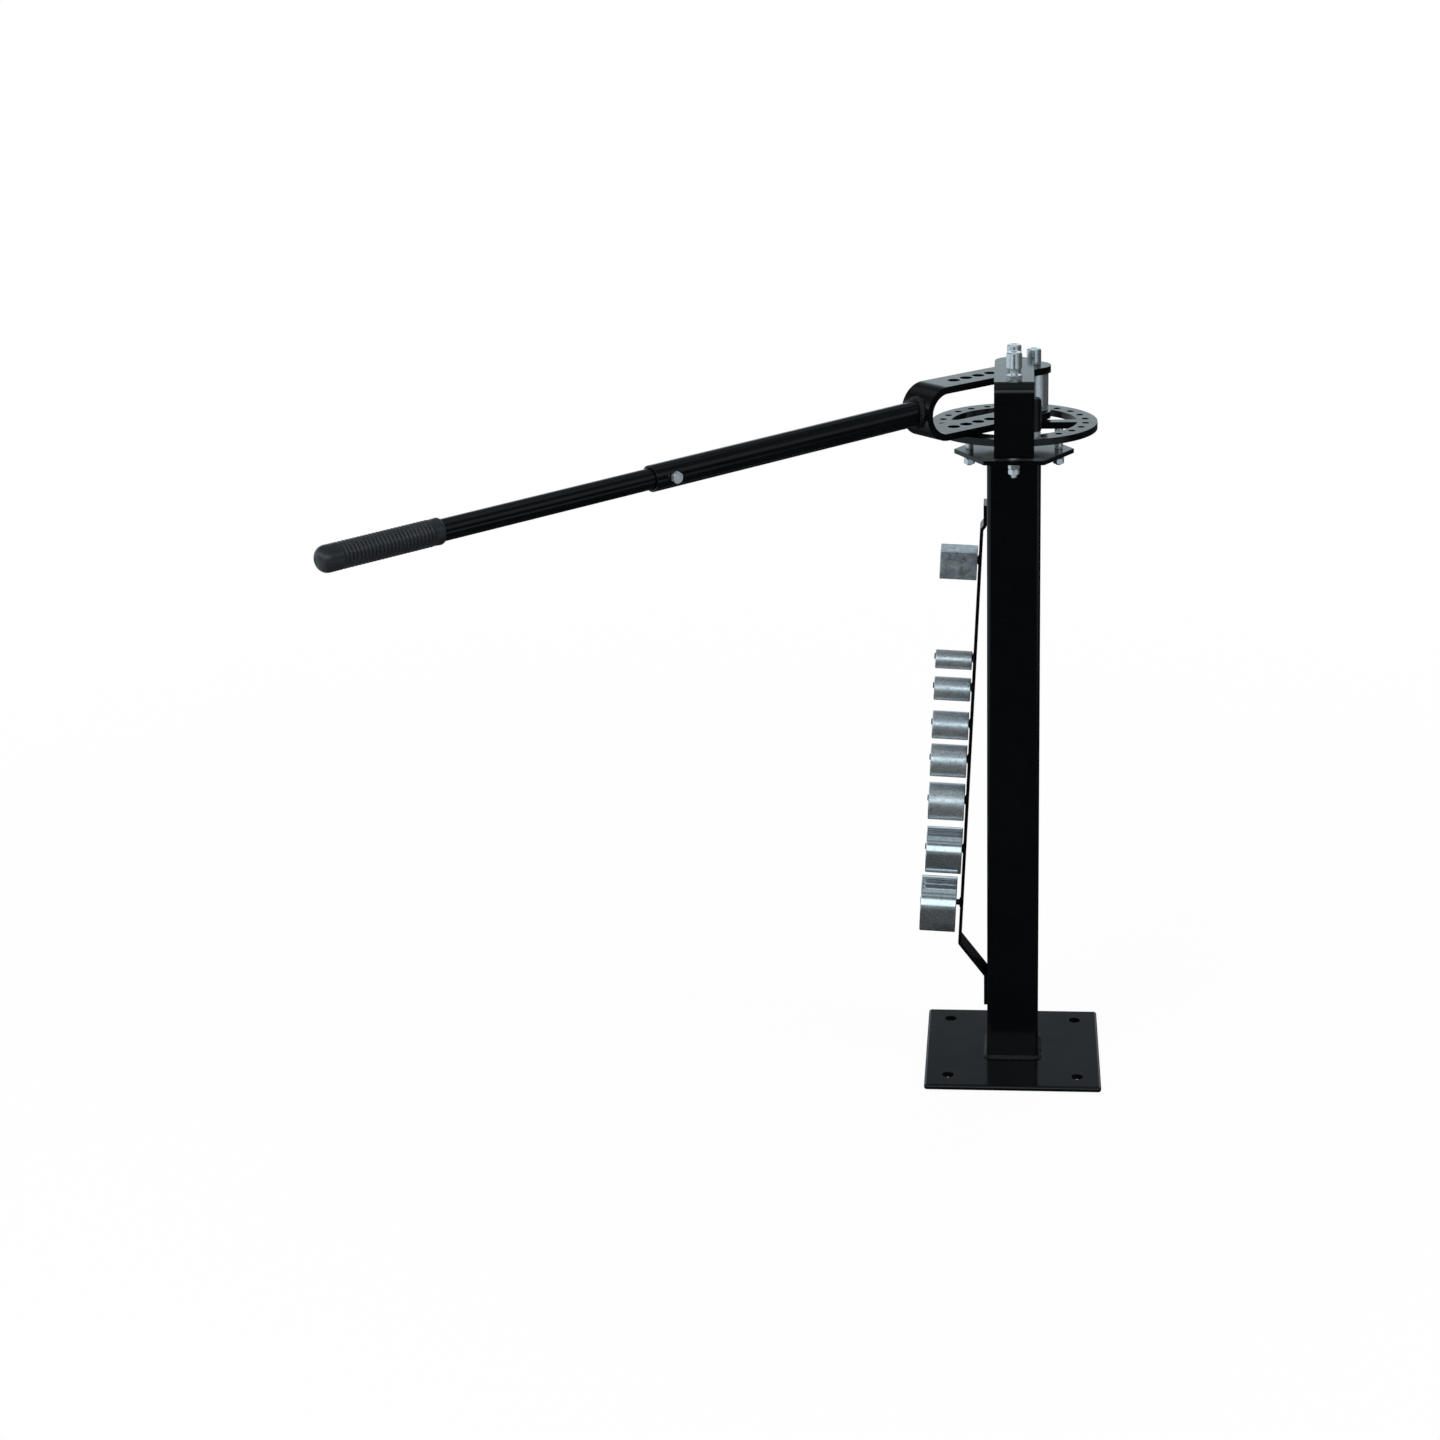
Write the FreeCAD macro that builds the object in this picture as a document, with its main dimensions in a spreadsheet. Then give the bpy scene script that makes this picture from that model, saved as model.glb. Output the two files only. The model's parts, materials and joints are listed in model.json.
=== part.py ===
import FreeCAD, Part
import math
import os
import re
import Sketcher

# Scroll bender. Origin: centre of the base plate's underside, on the floor.
# +Z up, -Y towards the front of the fixed frame, -X towards the die rack.

doc = FreeCAD.newDocument("ScrollBender")
vector = FreeCAD.Vector

# Driving dimensions, in millimetres, degrees and counts
dimensions = {
    "base_side": 240, "base_thick": 8, "base_corner": 4,
    "base_hole_pitch": 176, "base_hole_radius": 8,
    "post_side": 70, "post_wall": 3, "post_corner": 6, "post_top": 861,
    "weld_leg": 5, "weld_bevel": 4, "bead_bevel": 3.5,
    "plate_reach": 78, "plate_thick": 6,
    "disc_bottom": 895, "disc_thick": 9, "disc_radius": 108, "ring_inner_radius": 82,
    "hub_radius": 27, "spoke_width": 15, "ring_hole_radius": 4.75, "ring_hole_reach": 93,
    "ring_hole_count": 24, "ring_first_hole": 7.5,
    "stud_reach": 58, "stud_radius": 4, "stud_hole_radius": 4.2, "stud_end": 902,
    "stud_bottom": 852, "front_stud_bottom": 842.5, "spacer_radius": 5.5,
    "small_nut_reach": 7.5, "small_nut_height": 6.8,
    "pin_radius": 8, "pin_bore": 8.075, "pin_bevel": 1.5, "head_bevel": 1.2,
    "frame_width": 50, "bar_thick": 9, "frame_bottom": 886, "frame_top": 984,
    "frame_front": 146, "frame_outer_bend": 14, "frame_inner_bend": 5,
    "end_flat": 0.1,
    "clamp_reach": 119, "screw_radius": 5, "screw_bore": 5.06, "screw_bevel": 1,
    "clamp_tip": 960, "clamp_shoulder": 998.5, "clamp_head_radius": 9.9, "clamp_top": 1019,
    "clamp_head_bevel": 0.8,
    "lock_nut_reach": 10.1, "lock_nut_height": 6,
    "stop_turn": -75, "stop_sleeve_radius": 10.3, "stop_sleeve_top": 954,
    "stop_stud_top": 950, "stop_nut_reach": 9.8, "stop_nut_height": 8,
    "stop_stud_rise": 0.5, "stop_sleeve_bevel": 1.5,
    "lever_turn": 223.3, "yoke_width": 50, "yoke_bottom": 904.3, "yoke_top": 973.7,
    "yoke_reach": 171.5, "yoke_tail": 56.2,
    "hole_pitch": 21, "hole_count": 6, "roller_reach": 35.2,
    "centre_head_radius": 9.4, "centre_head_height": 21, "centre_pin_bottom": 878,
    "roller_head_radius": 9.4, "roller_head_height": 21, "roller_pin_gap": 0.4,
    "roller_radius": 19, "roller_gap": 0.3, "roller_bevel": 1,
    "handle_level": 946.2, "handle_droop": 1.86, "handle_radius": 16, "handle_bore": 12.78,
    "handle_start": 158, "handle_seat": 0.05, "handle_end": 582,
    "handle_bevel": 0.6,
    "extension_radius": 12.7, "extension_bore": 10.1,
    "extension_start": 455, "extension_end": 1012, "extension_bevel": 0.5,
    "grip_start": 867, "grip_end": 1023, "grip_radius": 15.5, "grip_round": 9,
    "rib_start": 881, "rib_pitch": 4.5, "rib_count": 26, "rib_depth": 1.1,
    "handle_screw_reach": 557, "handle_screw_radius": 4, "handle_screw_bore": 4.06,
    "handle_screw_tip": 12.85, "handle_screw_seat": 16.8,
    "handle_screw_head_reach": 7.5, "handle_screw_head_height": 5.3,
    "rack_width": 38, "rack_thick": 4.5, "rack_top": 795, "rack_upper_bend": 768,
    "rack_head": 762, "rack_head_out": 44, "rack_lean": 3.01, "rack_foot": 172.5,
    "rack_lower_bend": 125, "rack_bottom": 81,
    "rack_pin_radius": 4, "rack_pin_length": 55, "rack_pin_weld": 7,
    "rack_pin_weld_top": 4.2, "rack_pin_weld_height": 1.2,
    "die_length": 49, "die_edge": 1, "die_gap": 1.3, "large_die_gap": 5.2, "die_hang": 4,
    "block_side": 38.1, "block_drop": 46,
}

# Spare round dies from the top of the rack down: diameter, and how far down the bar
roundDies = {
    "die_25mm": (25.4, 182.3),
    "die_32mm": (31.75, 223.7),
    "die_38mm": (38.1, 275.5),
    "die_44mm": (44.45, 326.4),
    "die_51mm": (50.8, 385.6),
    "die_64mm": (63.5, 456.7),
    "die_76mm": (76.2, 536.4),
}
for name, (diameter, drop) in roundDies.items():
    dimensions[name + "_size"] = diameter
    dimensions[name + "_drop"] = drop

sheet = doc.addObject("Spreadsheet::Sheet", "Sizes")
for row, (alias, size) in enumerate(dimensions.items(), start=1):
    sheet.set(f"A{row}", alias.replace("_", " "))
    sheet.set(f"B{row}", str(size))
    sheet.setAlias(f"B{row}", alias)
doc.recompute()

subParts = []
xAxis, yAxis, zAxis = vector(1, 0, 0), vector(0, 1, 0), vector(0, 0, 1)


# A formula's worth now, and the formula as an expression bound to the sheet
def value(formula):
    worth = sheet.evalExpression(formula)
    return worth.Value if hasattr(worth, "Value") else float(worth)


def bound(formula):
    return re.sub(r"[a-z]+(_[a-z0-9]+)+", lambda word: "Sizes." + word.group(), formula)


def bind(thing, **formulas):
    for name, formula in formulas.items():
        thing.setExpression(name, bound(formula))


# Moves a sub-part or primitive to a place given by formulas, then turns it
def place(thing, x="0", y="0", z="0", rotation=FreeCAD.Rotation()):
    thing.Placement = FreeCAD.Placement(vector(value(x), value(y), value(z)), rotation)
    for side, formula in (("x", x), ("y", y), ("z", z)):
        thing.setExpression("Placement.Base." + side, bound(formula))


def newBody(label):
    body = doc.addObject("PartDesign::Body", label)
    body.Label = label
    subParts.append(body)
    return body


def newSketch(body, role, level="0"):
    sketch = body.newObject("Sketcher::SketchObject", body.Label + "_sketch")
    plane = [item for item in body.Origin.OriginFeatures if item.Role == role][0]
    sketch.AttachmentSupport = (plane, [""])
    sketch.MapMode = "FlatFace"
    sketch.setExpression("AttachmentOffset.Base.z", bound(level))
    return sketch


def hold(sketch, kind, formula, *geometry):
    number = sketch.addConstraint(Sketcher.Constraint(kind, *geometry, value(formula)))
    sketch.setExpression(f"Constraints[{number}]", bound(formula))


# Straight lines through corners, each corner a pair of formulas
def outline(sketch, corners, closed=True):
    spots = [vector(value(across), value(up), 0) for across, up in corners]
    first = sketch.GeometryCount
    last = len(spots) if closed else len(spots) - 1
    for index in range(last):
        line = Part.LineSegment(spots[index], spots[(index + 1) % len(spots)])
        sketch.addGeometry(line, False)
    for index in range(last if closed else last - 1):
        after = first + (index + 1) % last
        sketch.addConstraint(Sketcher.Constraint("Coincident", first + index, 2, after, 1))
    for index, (across, up) in enumerate(corners):
        line, end = (first + index, 1) if index < last else (first + index - 1, 2)
        hold(sketch, "DistanceX", across, line, end)
        hold(sketch, "DistanceY", up, line, end)


def circle(sketch, across, up, radius):
    shape = Part.Circle(vector(value(across), value(up), 0), zAxis, value(radius))
    index = sketch.addGeometry(shape, False)
    hold(sketch, "DistanceX", across, index, 3)
    hold(sketch, "DistanceY", up, index, 3)
    hold(sketch, "Radius", radius, index)


def rectangle(sketch, left, right, low, high):
    outline(sketch, [(left, low), (right, low), (right, high), (left, high)])


def pad(body, sketch, length, side="One side"):
    feature = body.newObject("PartDesign::Pad", body.Label + "_pad")
    feature.Profile = sketch
    feature.SideType = side
    bind(feature, Length=length)
    return feature


# Cuts a sketch right through, or to a depth on the side that holds material
def pocket(body, sketch, depth=None, reverse=False):
    feature = body.newObject("PartDesign::Pocket", body.Label + "_pocket")
    feature.Profile = sketch
    if depth is None:
        feature.SideType = "Symmetric"
        feature.Type = "ThroughAll"
    else:
        feature.Reversed = reverse
        bind(feature, Length=depth)
    before = body.Tip.Shape.Volume if body.Tip and not body.Tip.Shape.isNull() else 0
    doc.recompute()
    cuts.append((body.Label, feature, before))
    return feature


def dress(body, kind, size, test):
    doc.recompute()
    base = body.Tip
    edges = [f"Edge{number}" for number, edge in enumerate(base.Shape.Edges, start=1) if test(edge)]
    feature = body.newObject("PartDesign::" + kind, f"{body.Label}_{kind.lower()}")
    feature.Base = (base, edges)
    bind(feature, **{"Radius" if kind == "Fillet" else "Size": size})


def pattern(body, feature, kind, axis, count, **spans):
    repeat = body.newObject("PartDesign::" + kind, f"{body.Label}_pattern")
    repeat.Originals = [feature]
    if kind == "PolarPattern":
        repeat.Axis = axis
        repeat.Angle = 360
    else:
        repeat.Direction = axis
        bind(repeat, **spans)
    bind(repeat, Occurrences=count)
    body.Tip = repeat


# A round piece turned about its own Z axis from a profile of radius and height
def turned(label, corners):
    body = newBody(label)
    sketch = newSketch(body, "XZ_Plane")
    outline(sketch, corners)
    feature = body.newObject("PartDesign::Revolution", label + "_turned")
    feature.Profile = sketch
    feature.ReferenceAxis = (sketch, ["V_Axis"])
    feature.Angle = 360
    return body


# Plain solids for fasteners and beads
def cylinder(name, radius, height, **where):
    solid = doc.addObject("Part::Cylinder", name)
    bind(solid, Radius=radius, Height=height)
    place(solid, **where)
    return solid


def cone(name, lowRadius, highRadius, height, **where):
    solid = doc.addObject("Part::Cone", name)
    bind(solid, Radius1=lowRadius, Radius2=highRadius, Height=height)
    place(solid, **where)
    return solid


def prism(name, reach, height, **where):
    solid = doc.addObject("Part::Prism", name)
    solid.Polygon = 6
    bind(solid, Circumradius=reach, Height=height)
    place(solid, **where)
    return solid


def cut(name, base, tool):
    solid = doc.addObject("Part::Cut", name)
    solid.Base = base
    solid.Tool = tool
    return solid


def fuse(name, *solids):
    solid = doc.addObject("Part::MultiFuse", name)
    solid.Shapes = list(solids)
    return solid


def group(label, solids):
    joined = doc.addObject("Part::Compound", label)
    joined.Links = solids
    joined.Label = label
    subParts.append(joined)
    return joined


def keep(solid, label):
    solid.Label = label
    subParts.append(solid)
    return solid


def upright(edge):
    ends = [vertex.Point for vertex in edge.Vertexes]
    return len(ends) == 2 and abs(ends[0].x - ends[1].x) + abs(ends[0].y - ends[1].y) < 0.001


def edgeAt(edge, **where):
    middle = edge.CenterOfMass
    return all(abs(getattr(middle, side) - value(at)) < 0.01 for side, at in where.items())


cuts = []


# Stand: base plate, post, weld beads and top plate
def makeBasePlate():
    body = newBody("base_plate")
    sketch = newSketch(body, "XY_Plane")
    rectangle(sketch, "-base_side / 2", "base_side / 2", "-base_side / 2", "base_side / 2")
    for across in ("-base_hole_pitch / 2", "base_hole_pitch / 2"):
        for along in ("-base_hole_pitch / 2", "base_hole_pitch / 2"):
            circle(sketch, across, along, "base_hole_radius")
    pad(body, sketch, "base_thick")
    corner = value("base_side / 2")
    dress(body, "Fillet", "base_corner",
          lambda edge: upright(edge) and abs(abs(edge.CenterOfMass.x) - corner) < 0.01)


# A square frame of bar with rounded corners, open in the middle
def squareTube(body, level, outer, inner, height, radius):
    sketch = newSketch(body, "XY_Plane", level)
    for half in (f"({outer})", f"({inner})"):
        rectangle(sketch, "-" + half, half, "-" + half, half)
    pad(body, sketch, height)
    for half, corner in ((outer, radius), (inner, f"{radius} - ({outer} - ({inner}))")):
        reach = value(half)
        dress(body, "Fillet", corner,
              lambda edge: upright(edge) and abs(abs(edge.CenterOfMass.x) - reach) < 0.01)


def makePost():
    squareTube(newBody("post"), "base_thick", "post_side / 2", "post_side / 2 - post_wall",
               "post_top - base_thick", "post_corner")


# A bead round the post, wide at its lower face; the upper bead is turned over
def makeSquareBead(label, level, rotation):
    body = newBody(label)
    squareTube(body, "0", "post_side / 2 + weld_leg", "post_side / 2", "weld_leg",
               "post_corner + weld_leg")
    inside, top = value("post_side / 2"), value("weld_leg")
    dress(body, "Chamfer", "weld_bevel", lambda edge: (
        abs(edge.CenterOfMass.z - top) < 0.01
        and max(abs(edge.CenterOfMass.x), abs(edge.CenterOfMass.y)) > inside + 0.01))
    place(body, z=level, rotation=rotation)


def makeTopPlate():
    body = newBody("top_plate")
    sketch = newSketch(body, "XY_Plane", "post_top")
    outline(sketch, [(f"plate_reach * cos({turn})", f"plate_reach * sin({turn})")
                     for turn in range(0, 360, 60)])
    for turn in range(0, 360, 90):
        circle(sketch, f"stud_reach * cos({turn})", f"stud_reach * sin({turn})", "stud_hole_radius")
    pad(body, sketch, "plate_thick")


# One window between two spokes, the hub and the ring
def windowOutline(sketch):
    half = value("spoke_width / 2")
    arcs = []
    for radius in ("hub_radius", "ring_inner_radius"):
        reach = value(radius)
        along = (reach ** 2 - half ** 2) ** 0.5
        start = vector(along, half, 0)
        end = vector(half, along, 0)
        middle = vector(reach / 2 ** 0.5, reach / 2 ** 0.5, 0)
        arcs.append(sketch.addGeometry(Part.Arc(start, middle, end), False))
    inner, outer = arcs
    lines = []
    for end in (1, 2):
        line = Part.LineSegment(sketch.getPoint(inner, end), sketch.getPoint(outer, end))
        lines.append(sketch.addGeometry(line, False))
        sketch.addConstraint(Sketcher.Constraint("Coincident", lines[-1], 1, inner, end))
        sketch.addConstraint(Sketcher.Constraint("Coincident", lines[-1], 2, outer, end))
    for arc, radius in ((inner, "hub_radius"), (outer, "ring_inner_radius")):
        sketch.addConstraint(Sketcher.Constraint("Coincident", arc, 3, -1, 1))
        hold(sketch, "Radius", radius, arc)
    sketch.addConstraint(Sketcher.Constraint("Horizontal", lines[0]))
    sketch.addConstraint(Sketcher.Constraint("Vertical", lines[1]))
    hold(sketch, "DistanceY", "spoke_width / 2", lines[0], 1)
    hold(sketch, "DistanceX", "spoke_width / 2", lines[1], 1)


def makeHoleDisc():
    body = newBody("hole_disc")
    sketch = newSketch(body, "XY_Plane", "disc_bottom")
    circle(sketch, "0", "0", "disc_radius")
    circle(sketch, "0", "0", "pin_bore")
    circle(sketch, "ring_hole_reach * cos(stop_turn)", "ring_hole_reach * sin(stop_turn)",
           "screw_bore")
    pad(body, sketch, "disc_thick")
    sketch = newSketch(body, "XY_Plane")
    windowOutline(sketch)
    window = pocket(body, sketch)
    pattern(body, window, "PolarPattern", (sketch, ["N_Axis"]), "4")
    sketch = newSketch(body, "XY_Plane")
    circle(sketch, "ring_hole_reach * cos(ring_first_hole)",
           "ring_hole_reach * sin(ring_first_hole)", "ring_hole_radius")
    hole = pocket(body, sketch)
    pattern(body, hole, "PolarPattern", (sketch, ["N_Axis"]), "ring_hole_count")
    sketch = newSketch(body, "XY_Plane", "disc_bottom")
    for turn in range(0, 360, 90):
        circle(sketch, f"stud_reach * cos({turn})", f"stud_reach * sin({turn})", "stud_radius")
    pocket(body, sketch, "stud_end - disc_bottom", reverse=True)


# Studs, spacers and nuts that carry the disc; the front set also holds the frame, with a
# second nut locked against the first
def makeDiscFasteners():
    studs, spacers, nuts = [], [], []
    for turn in range(0, 360, 90):
        front = turn == 270
        where = {"x": f"stud_reach * cos({turn})", "y": f"stud_reach * sin({turn})"}
        bottom = "front_stud_bottom" if front else "stud_bottom"
        studs.append(cylinder("stud", "stud_radius", f"stud_end - {bottom}", z=bottom, **where))
        foot = "post_top + plate_thick"
        length = ("frame_bottom" if front else "disc_bottom") + f" - ({foot})"
        sleeve = cylinder("spacer_outside", "spacer_radius", length, z=foot, **where)
        bore = cylinder("spacer_bore", "stud_radius", length, z=foot, **where)
        spacers.append(cut("spacer", sleeve, bore))
        for order in range(2 if front else 1):
            level = f"post_top - small_nut_height * {order + 1}"
            blank = prism("nut_blank", "small_nut_reach", "small_nut_height", z=level, **where)
            thread = cylinder("nut_thread", "stud_radius", "small_nut_height", z=level, **where)
            nuts.append(cut("nut", blank, thread))
    group("disc_studs", studs)
    group("disc_spacers", spacers)
    group("disc_nuts", nuts)


# Flat bar bent into a C: a block is hollowed from its open end, then its bends are rounded
def makeFixedFrame():
    body = newBody("fixed_frame")
    sketch = newSketch(body, "YZ_Plane")
    rectangle(sketch, "-frame_front", "frame_width / 2", "frame_bottom", "frame_top")
    pad(body, sketch, "frame_width", "Symmetric")
    dress(body, "Fillet", "frame_outer_bend", lambda edge: (
        edgeAt(edge, y="-frame_front", z="frame_bottom")
        or edgeAt(edge, y="-frame_front", z="frame_top")))
    sketch = newSketch(body, "YZ_Plane")
    rectangle(sketch, "bar_thick - frame_front", "frame_width",
              "frame_bottom + bar_thick", "frame_top - bar_thick")
    pocket(body, sketch)
    dress(body, "Fillet", "frame_inner_bend", lambda edge: (
        edgeAt(edge, x="0", y="bar_thick - frame_front", z="frame_bottom + bar_thick")
        or edgeAt(edge, x="0", y="bar_thick - frame_front", z="frame_top - bar_thick")))
    end = value("frame_width / 2")
    dress(body, "Fillet", "frame_width / 2 - end_flat",
          lambda edge: upright(edge) and abs(edge.CenterOfMass.y - end) < 0.01)
    sketch = newSketch(body, "XY_Plane")
    circle(sketch, "0", "0", "pin_bore")
    pocket(body, sketch)
    sketch = newSketch(body, "XY_Plane", "frame_top")
    circle(sketch, "0", "-clamp_reach", "screw_bore")
    pocket(body, sketch, "bar_thick")
    sketch = newSketch(body, "XY_Plane", "frame_bottom")
    circle(sketch, "0", "-stud_reach", "stud_hole_radius")
    pocket(body, sketch, "bar_thick", reverse=True)


def hexNut(label, reach, height, bore, **where):
    blank = prism(label + "_blank", reach, height, **where)
    thread = cylinder(label + "_thread", bore, height, **where)
    keep(cut(label + "_solid", blank, thread), label)


def makeClampScrew():
    turned("clamp_screw", [
        ("0", "clamp_tip"), ("screw_radius - screw_bevel", "clamp_tip"),
        ("screw_radius", "clamp_tip + screw_bevel"),
        ("screw_radius", "clamp_shoulder"),
        ("clamp_head_radius - clamp_head_bevel", "clamp_shoulder"),
        ("clamp_head_radius", "clamp_shoulder + clamp_head_bevel"),
        ("clamp_head_radius", "clamp_top - screw_bevel"),
        ("clamp_head_radius - screw_bevel", "clamp_top"), ("0", "clamp_top")])
    place(subParts[-1], y="-clamp_reach")
    hexNut("clamp_lock_nut", "lock_nut_reach", "lock_nut_height", "screw_bore",
           y="-clamp_reach", z="frame_top")


def makeStop():
    where = {"x": "ring_hole_reach * cos(stop_turn)", "y": "ring_hole_reach * sin(stop_turn)"}
    foot = "disc_bottom + stop_stud_rise"
    keep(cylinder("stop_stud_solid", "screw_radius", f"stop_stud_top - ({foot})", z=foot, **where),
         "stop_stud")
    deck = "disc_bottom + disc_thick"
    hexNut("stop_nut", "stop_nut_reach", "stop_nut_height", "screw_radius", z=deck, **where)
    foot = f"{deck} + stop_nut_height"
    turned("stop_sleeve", [
        ("screw_radius", foot), ("stop_sleeve_radius", foot),
        ("stop_sleeve_radius", "stop_sleeve_top"), ("0", "stop_sleeve_top"),
        ("0", "stop_stud_top"), ("screw_radius", "stop_stud_top")])
    sleeve = subParts[-1]
    dress(sleeve, "Chamfer", "stop_sleeve_bevel",
          lambda edge: edgeAt(edge, x="0", y="0", z="stop_sleeve_top"))
    place(sleeve, **where)


# Pins: a round head on a shaft that ends in a small bevel
def headedPin(label, head, height, seat, bottom):
    top = f"{seat} + {height}"
    return turned(label, [
        ("0", bottom), ("pin_radius - pin_bevel", bottom), ("pin_radius", f"{bottom} + pin_bevel"),
        ("pin_radius", seat), (head, seat), (head, f"{top} - head_bevel"),
        (f"{head} - head_bevel", top), ("0", top)])


def makePinsAndRoller():
    headedPin("centre_pin", "centre_head_radius", "centre_head_height",
              "frame_top", "centre_pin_bottom")
    tail = {"x": "-roller_reach * cos(lever_turn)", "y": "-roller_reach * sin(lever_turn)"}
    pin = headedPin("roller_pin", "roller_head_radius", "roller_head_height",
                    "yoke_top", "yoke_bottom + roller_pin_gap")
    place(pin, **tail)
    low, high = "yoke_bottom + bar_thick + roller_gap", "yoke_top - bar_thick - roller_gap"
    roller = turned("roller", tubeProfile("pin_bore", "roller_radius", low, high, "roller_bevel"))
    place(roller, **tail)


def tubeProfile(bore, radius, low, high, edge):
    return [(bore, low), (f"{radius} - {edge}", low), (radius, f"{low} + {edge}"),
            (radius, f"{high} - {edge}"), (f"{radius} - {edge}", high), (bore, high)]


# A strip with one half-round end, as an outline seen from the side
def roundEnded(sketch, left, centre, level, radius):
    start, across, up, reach = value(left), value(centre), value(level), value(radius)
    bend = Part.Circle(vector(across, up, 0), zAxis, reach)
    arc = sketch.addGeometry(Part.ArcOfCircle(bend, -math.pi / 2, math.pi / 2), False)
    spots = [vector(start, up - reach, 0), vector(across, up - reach, 0),
             vector(across, up + reach, 0), vector(start, up + reach, 0)]
    low = sketch.addGeometry(Part.LineSegment(spots[0], spots[1]), False)
    high = sketch.addGeometry(Part.LineSegment(spots[2], spots[3]), False)
    back = sketch.addGeometry(Part.LineSegment(spots[3], spots[0]), False)
    for kind, *where in (("Tangent", low, 2, arc, 1), ("Tangent", arc, 2, high, 1),
                         ("Coincident", high, 2, back, 1), ("Coincident", back, 2, low, 1),
                         ("Horizontal", low), ("Horizontal", high)):
        sketch.addConstraint(Sketcher.Constraint(kind, *where))
    hold(sketch, "DistanceX", left, low, 1)
    hold(sketch, "DistanceX", left, high, 2)
    hold(sketch, "DistanceX", centre, arc, 3)
    hold(sketch, "DistanceY", level, arc, 3)
    hold(sketch, "Radius", radius, arc)


# Middle and radius of the yoke's half-round bend
yokeMiddle = "((yoke_top + yoke_bottom) / 2)"
yokeRadius = "((yoke_top - yoke_bottom) / 2)"
yokeBend = f"(yoke_reach - {yokeRadius})"


# Lever: flat bar bent into a U, with a row of pin holes in both arms, made along X
def makeYoke():
    body = newBody("yoke")
    sketch = newSketch(body, "XZ_Plane")
    roundEnded(sketch, "-yoke_tail", yokeBend, yokeMiddle, yokeRadius)
    pad(body, sketch, "yoke_width", "Symmetric")
    sketch = newSketch(body, "XZ_Plane")
    roundEnded(sketch, "-yoke_tail * 2", yokeBend, yokeMiddle, f"{yokeRadius} - bar_thick")
    pocket(body, sketch)
    end = value("-yoke_tail")
    dress(body, "Fillet", "yoke_width / 2 - end_flat",
          lambda edge: upright(edge) and abs(edge.CenterOfMass.x - end) < 0.01)
    sketch = newSketch(body, "XY_Plane")
    circle(sketch, "0", "0", "pin_bore")
    hole = pocket(body, sketch)
    pattern(body, hole, "LinearPattern", (sketch, ["H_Axis"]), "hole_count",
            Length="hole_pitch * (hole_count - 1)")
    sketch = newSketch(body, "XY_Plane")
    circle(sketch, "-roller_reach", "0", "pin_bore")
    pocket(body, sketch)
    place(body, rotation=FreeCAD.Rotation(zAxis, value("lever_turn")))


# The yoke's bend as the handle's own XZ plane sees it, across and along the handle
yokeCentre = (
    f"(handle_level - {yokeMiddle}) * cos(handle_droop) - {yokeBend} * sin(handle_droop)",
    f"{yokeBend} * cos(handle_droop) + (handle_level - {yokeMiddle}) * sin(handle_droop)",
)


# Saddle cut that seats a round piece on the curved back of the yoke
def seatOnYoke(piece):
    sketch = newSketch(piece, "XZ_Plane")
    circle(sketch, *yokeCentre, f"{yokeRadius} + handle_seat")
    pocket(piece, sketch)


def onBeadCorner(edge):
    spot = edge.valueAt((edge.FirstParameter + edge.LastParameter) / 2)
    outside = value("handle_radius + weld_leg")
    fromBend = math.hypot(spot.x - value(yokeCentre[0]), spot.z - value(yokeCentre[1]))
    return (abs(math.hypot(spot.x, spot.y) - outside) < 0.01
            and abs(fromBend - value(f"{yokeRadius} + weld_leg")) < 0.01)


# Handle pieces are made along Z and laid along the lever, with its small droop
def makeHandle():
    turn = FreeCAD.Rotation(zAxis, value("lever_turn"))
    along = turn.multiply(FreeCAD.Rotation(yAxis, 90 + value("handle_droop")))
    weld = turned("yoke_weld", [
        ("handle_radius", "handle_start"), ("handle_radius + weld_leg", "handle_start"),
        ("handle_radius + weld_leg", "yoke_reach + weld_leg * 2"),
        ("handle_radius", "yoke_reach + weld_leg * 2")])
    sketch = newSketch(weld, "XZ_Plane")
    circle(sketch, *yokeCentre, f"{yokeRadius} + weld_leg")
    rectangle(sketch, "-yoke_reach", "yoke_reach", "0", "yoke_reach * 2")
    pocket(weld, sketch)
    seatOnYoke(weld)
    dress(weld, "Chamfer", "bead_bevel", onBeadCorner)

    tube = turned("handle_tube", tubeProfile("handle_bore", "handle_radius",
                                             "handle_start", "handle_end",
                                             "handle_bevel"))
    seatOnYoke(tube)
    sketch = newSketch(tube, "XZ_Plane")
    circle(sketch, "0", "handle_screw_reach", "handle_screw_bore")
    pocket(tube, sketch, "handle_radius * 1.25")
    extension = turned("handle_extension", tubeProfile(
        "extension_bore", "extension_radius", "extension_start", "extension_end",
        "extension_bevel"))
    grip = makeGrip()
    for piece in (weld, tube, extension, grip):
        place(piece, z="handle_level", rotation=along)

    side = along.multiply(FreeCAD.Rotation(xAxis, -90))
    shank = cylinder("screw_shank", "handle_screw_radius", "handle_screw_seat - handle_screw_tip",
                     z="handle_screw_tip")
    head = prism("screw_head", "handle_screw_head_reach", "handle_screw_head_height",
                 z="handle_screw_seat")
    screw = keep(fuse("handle_screw_solid", shank, head), "handle_screw")
    place(screw, x="handle_screw_reach * cos(handle_droop) * cos(lever_turn)",
          y="handle_screw_reach * cos(handle_droop) * sin(lever_turn)",
          z="handle_level - handle_screw_reach * sin(handle_droop)", rotation=side)


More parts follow.
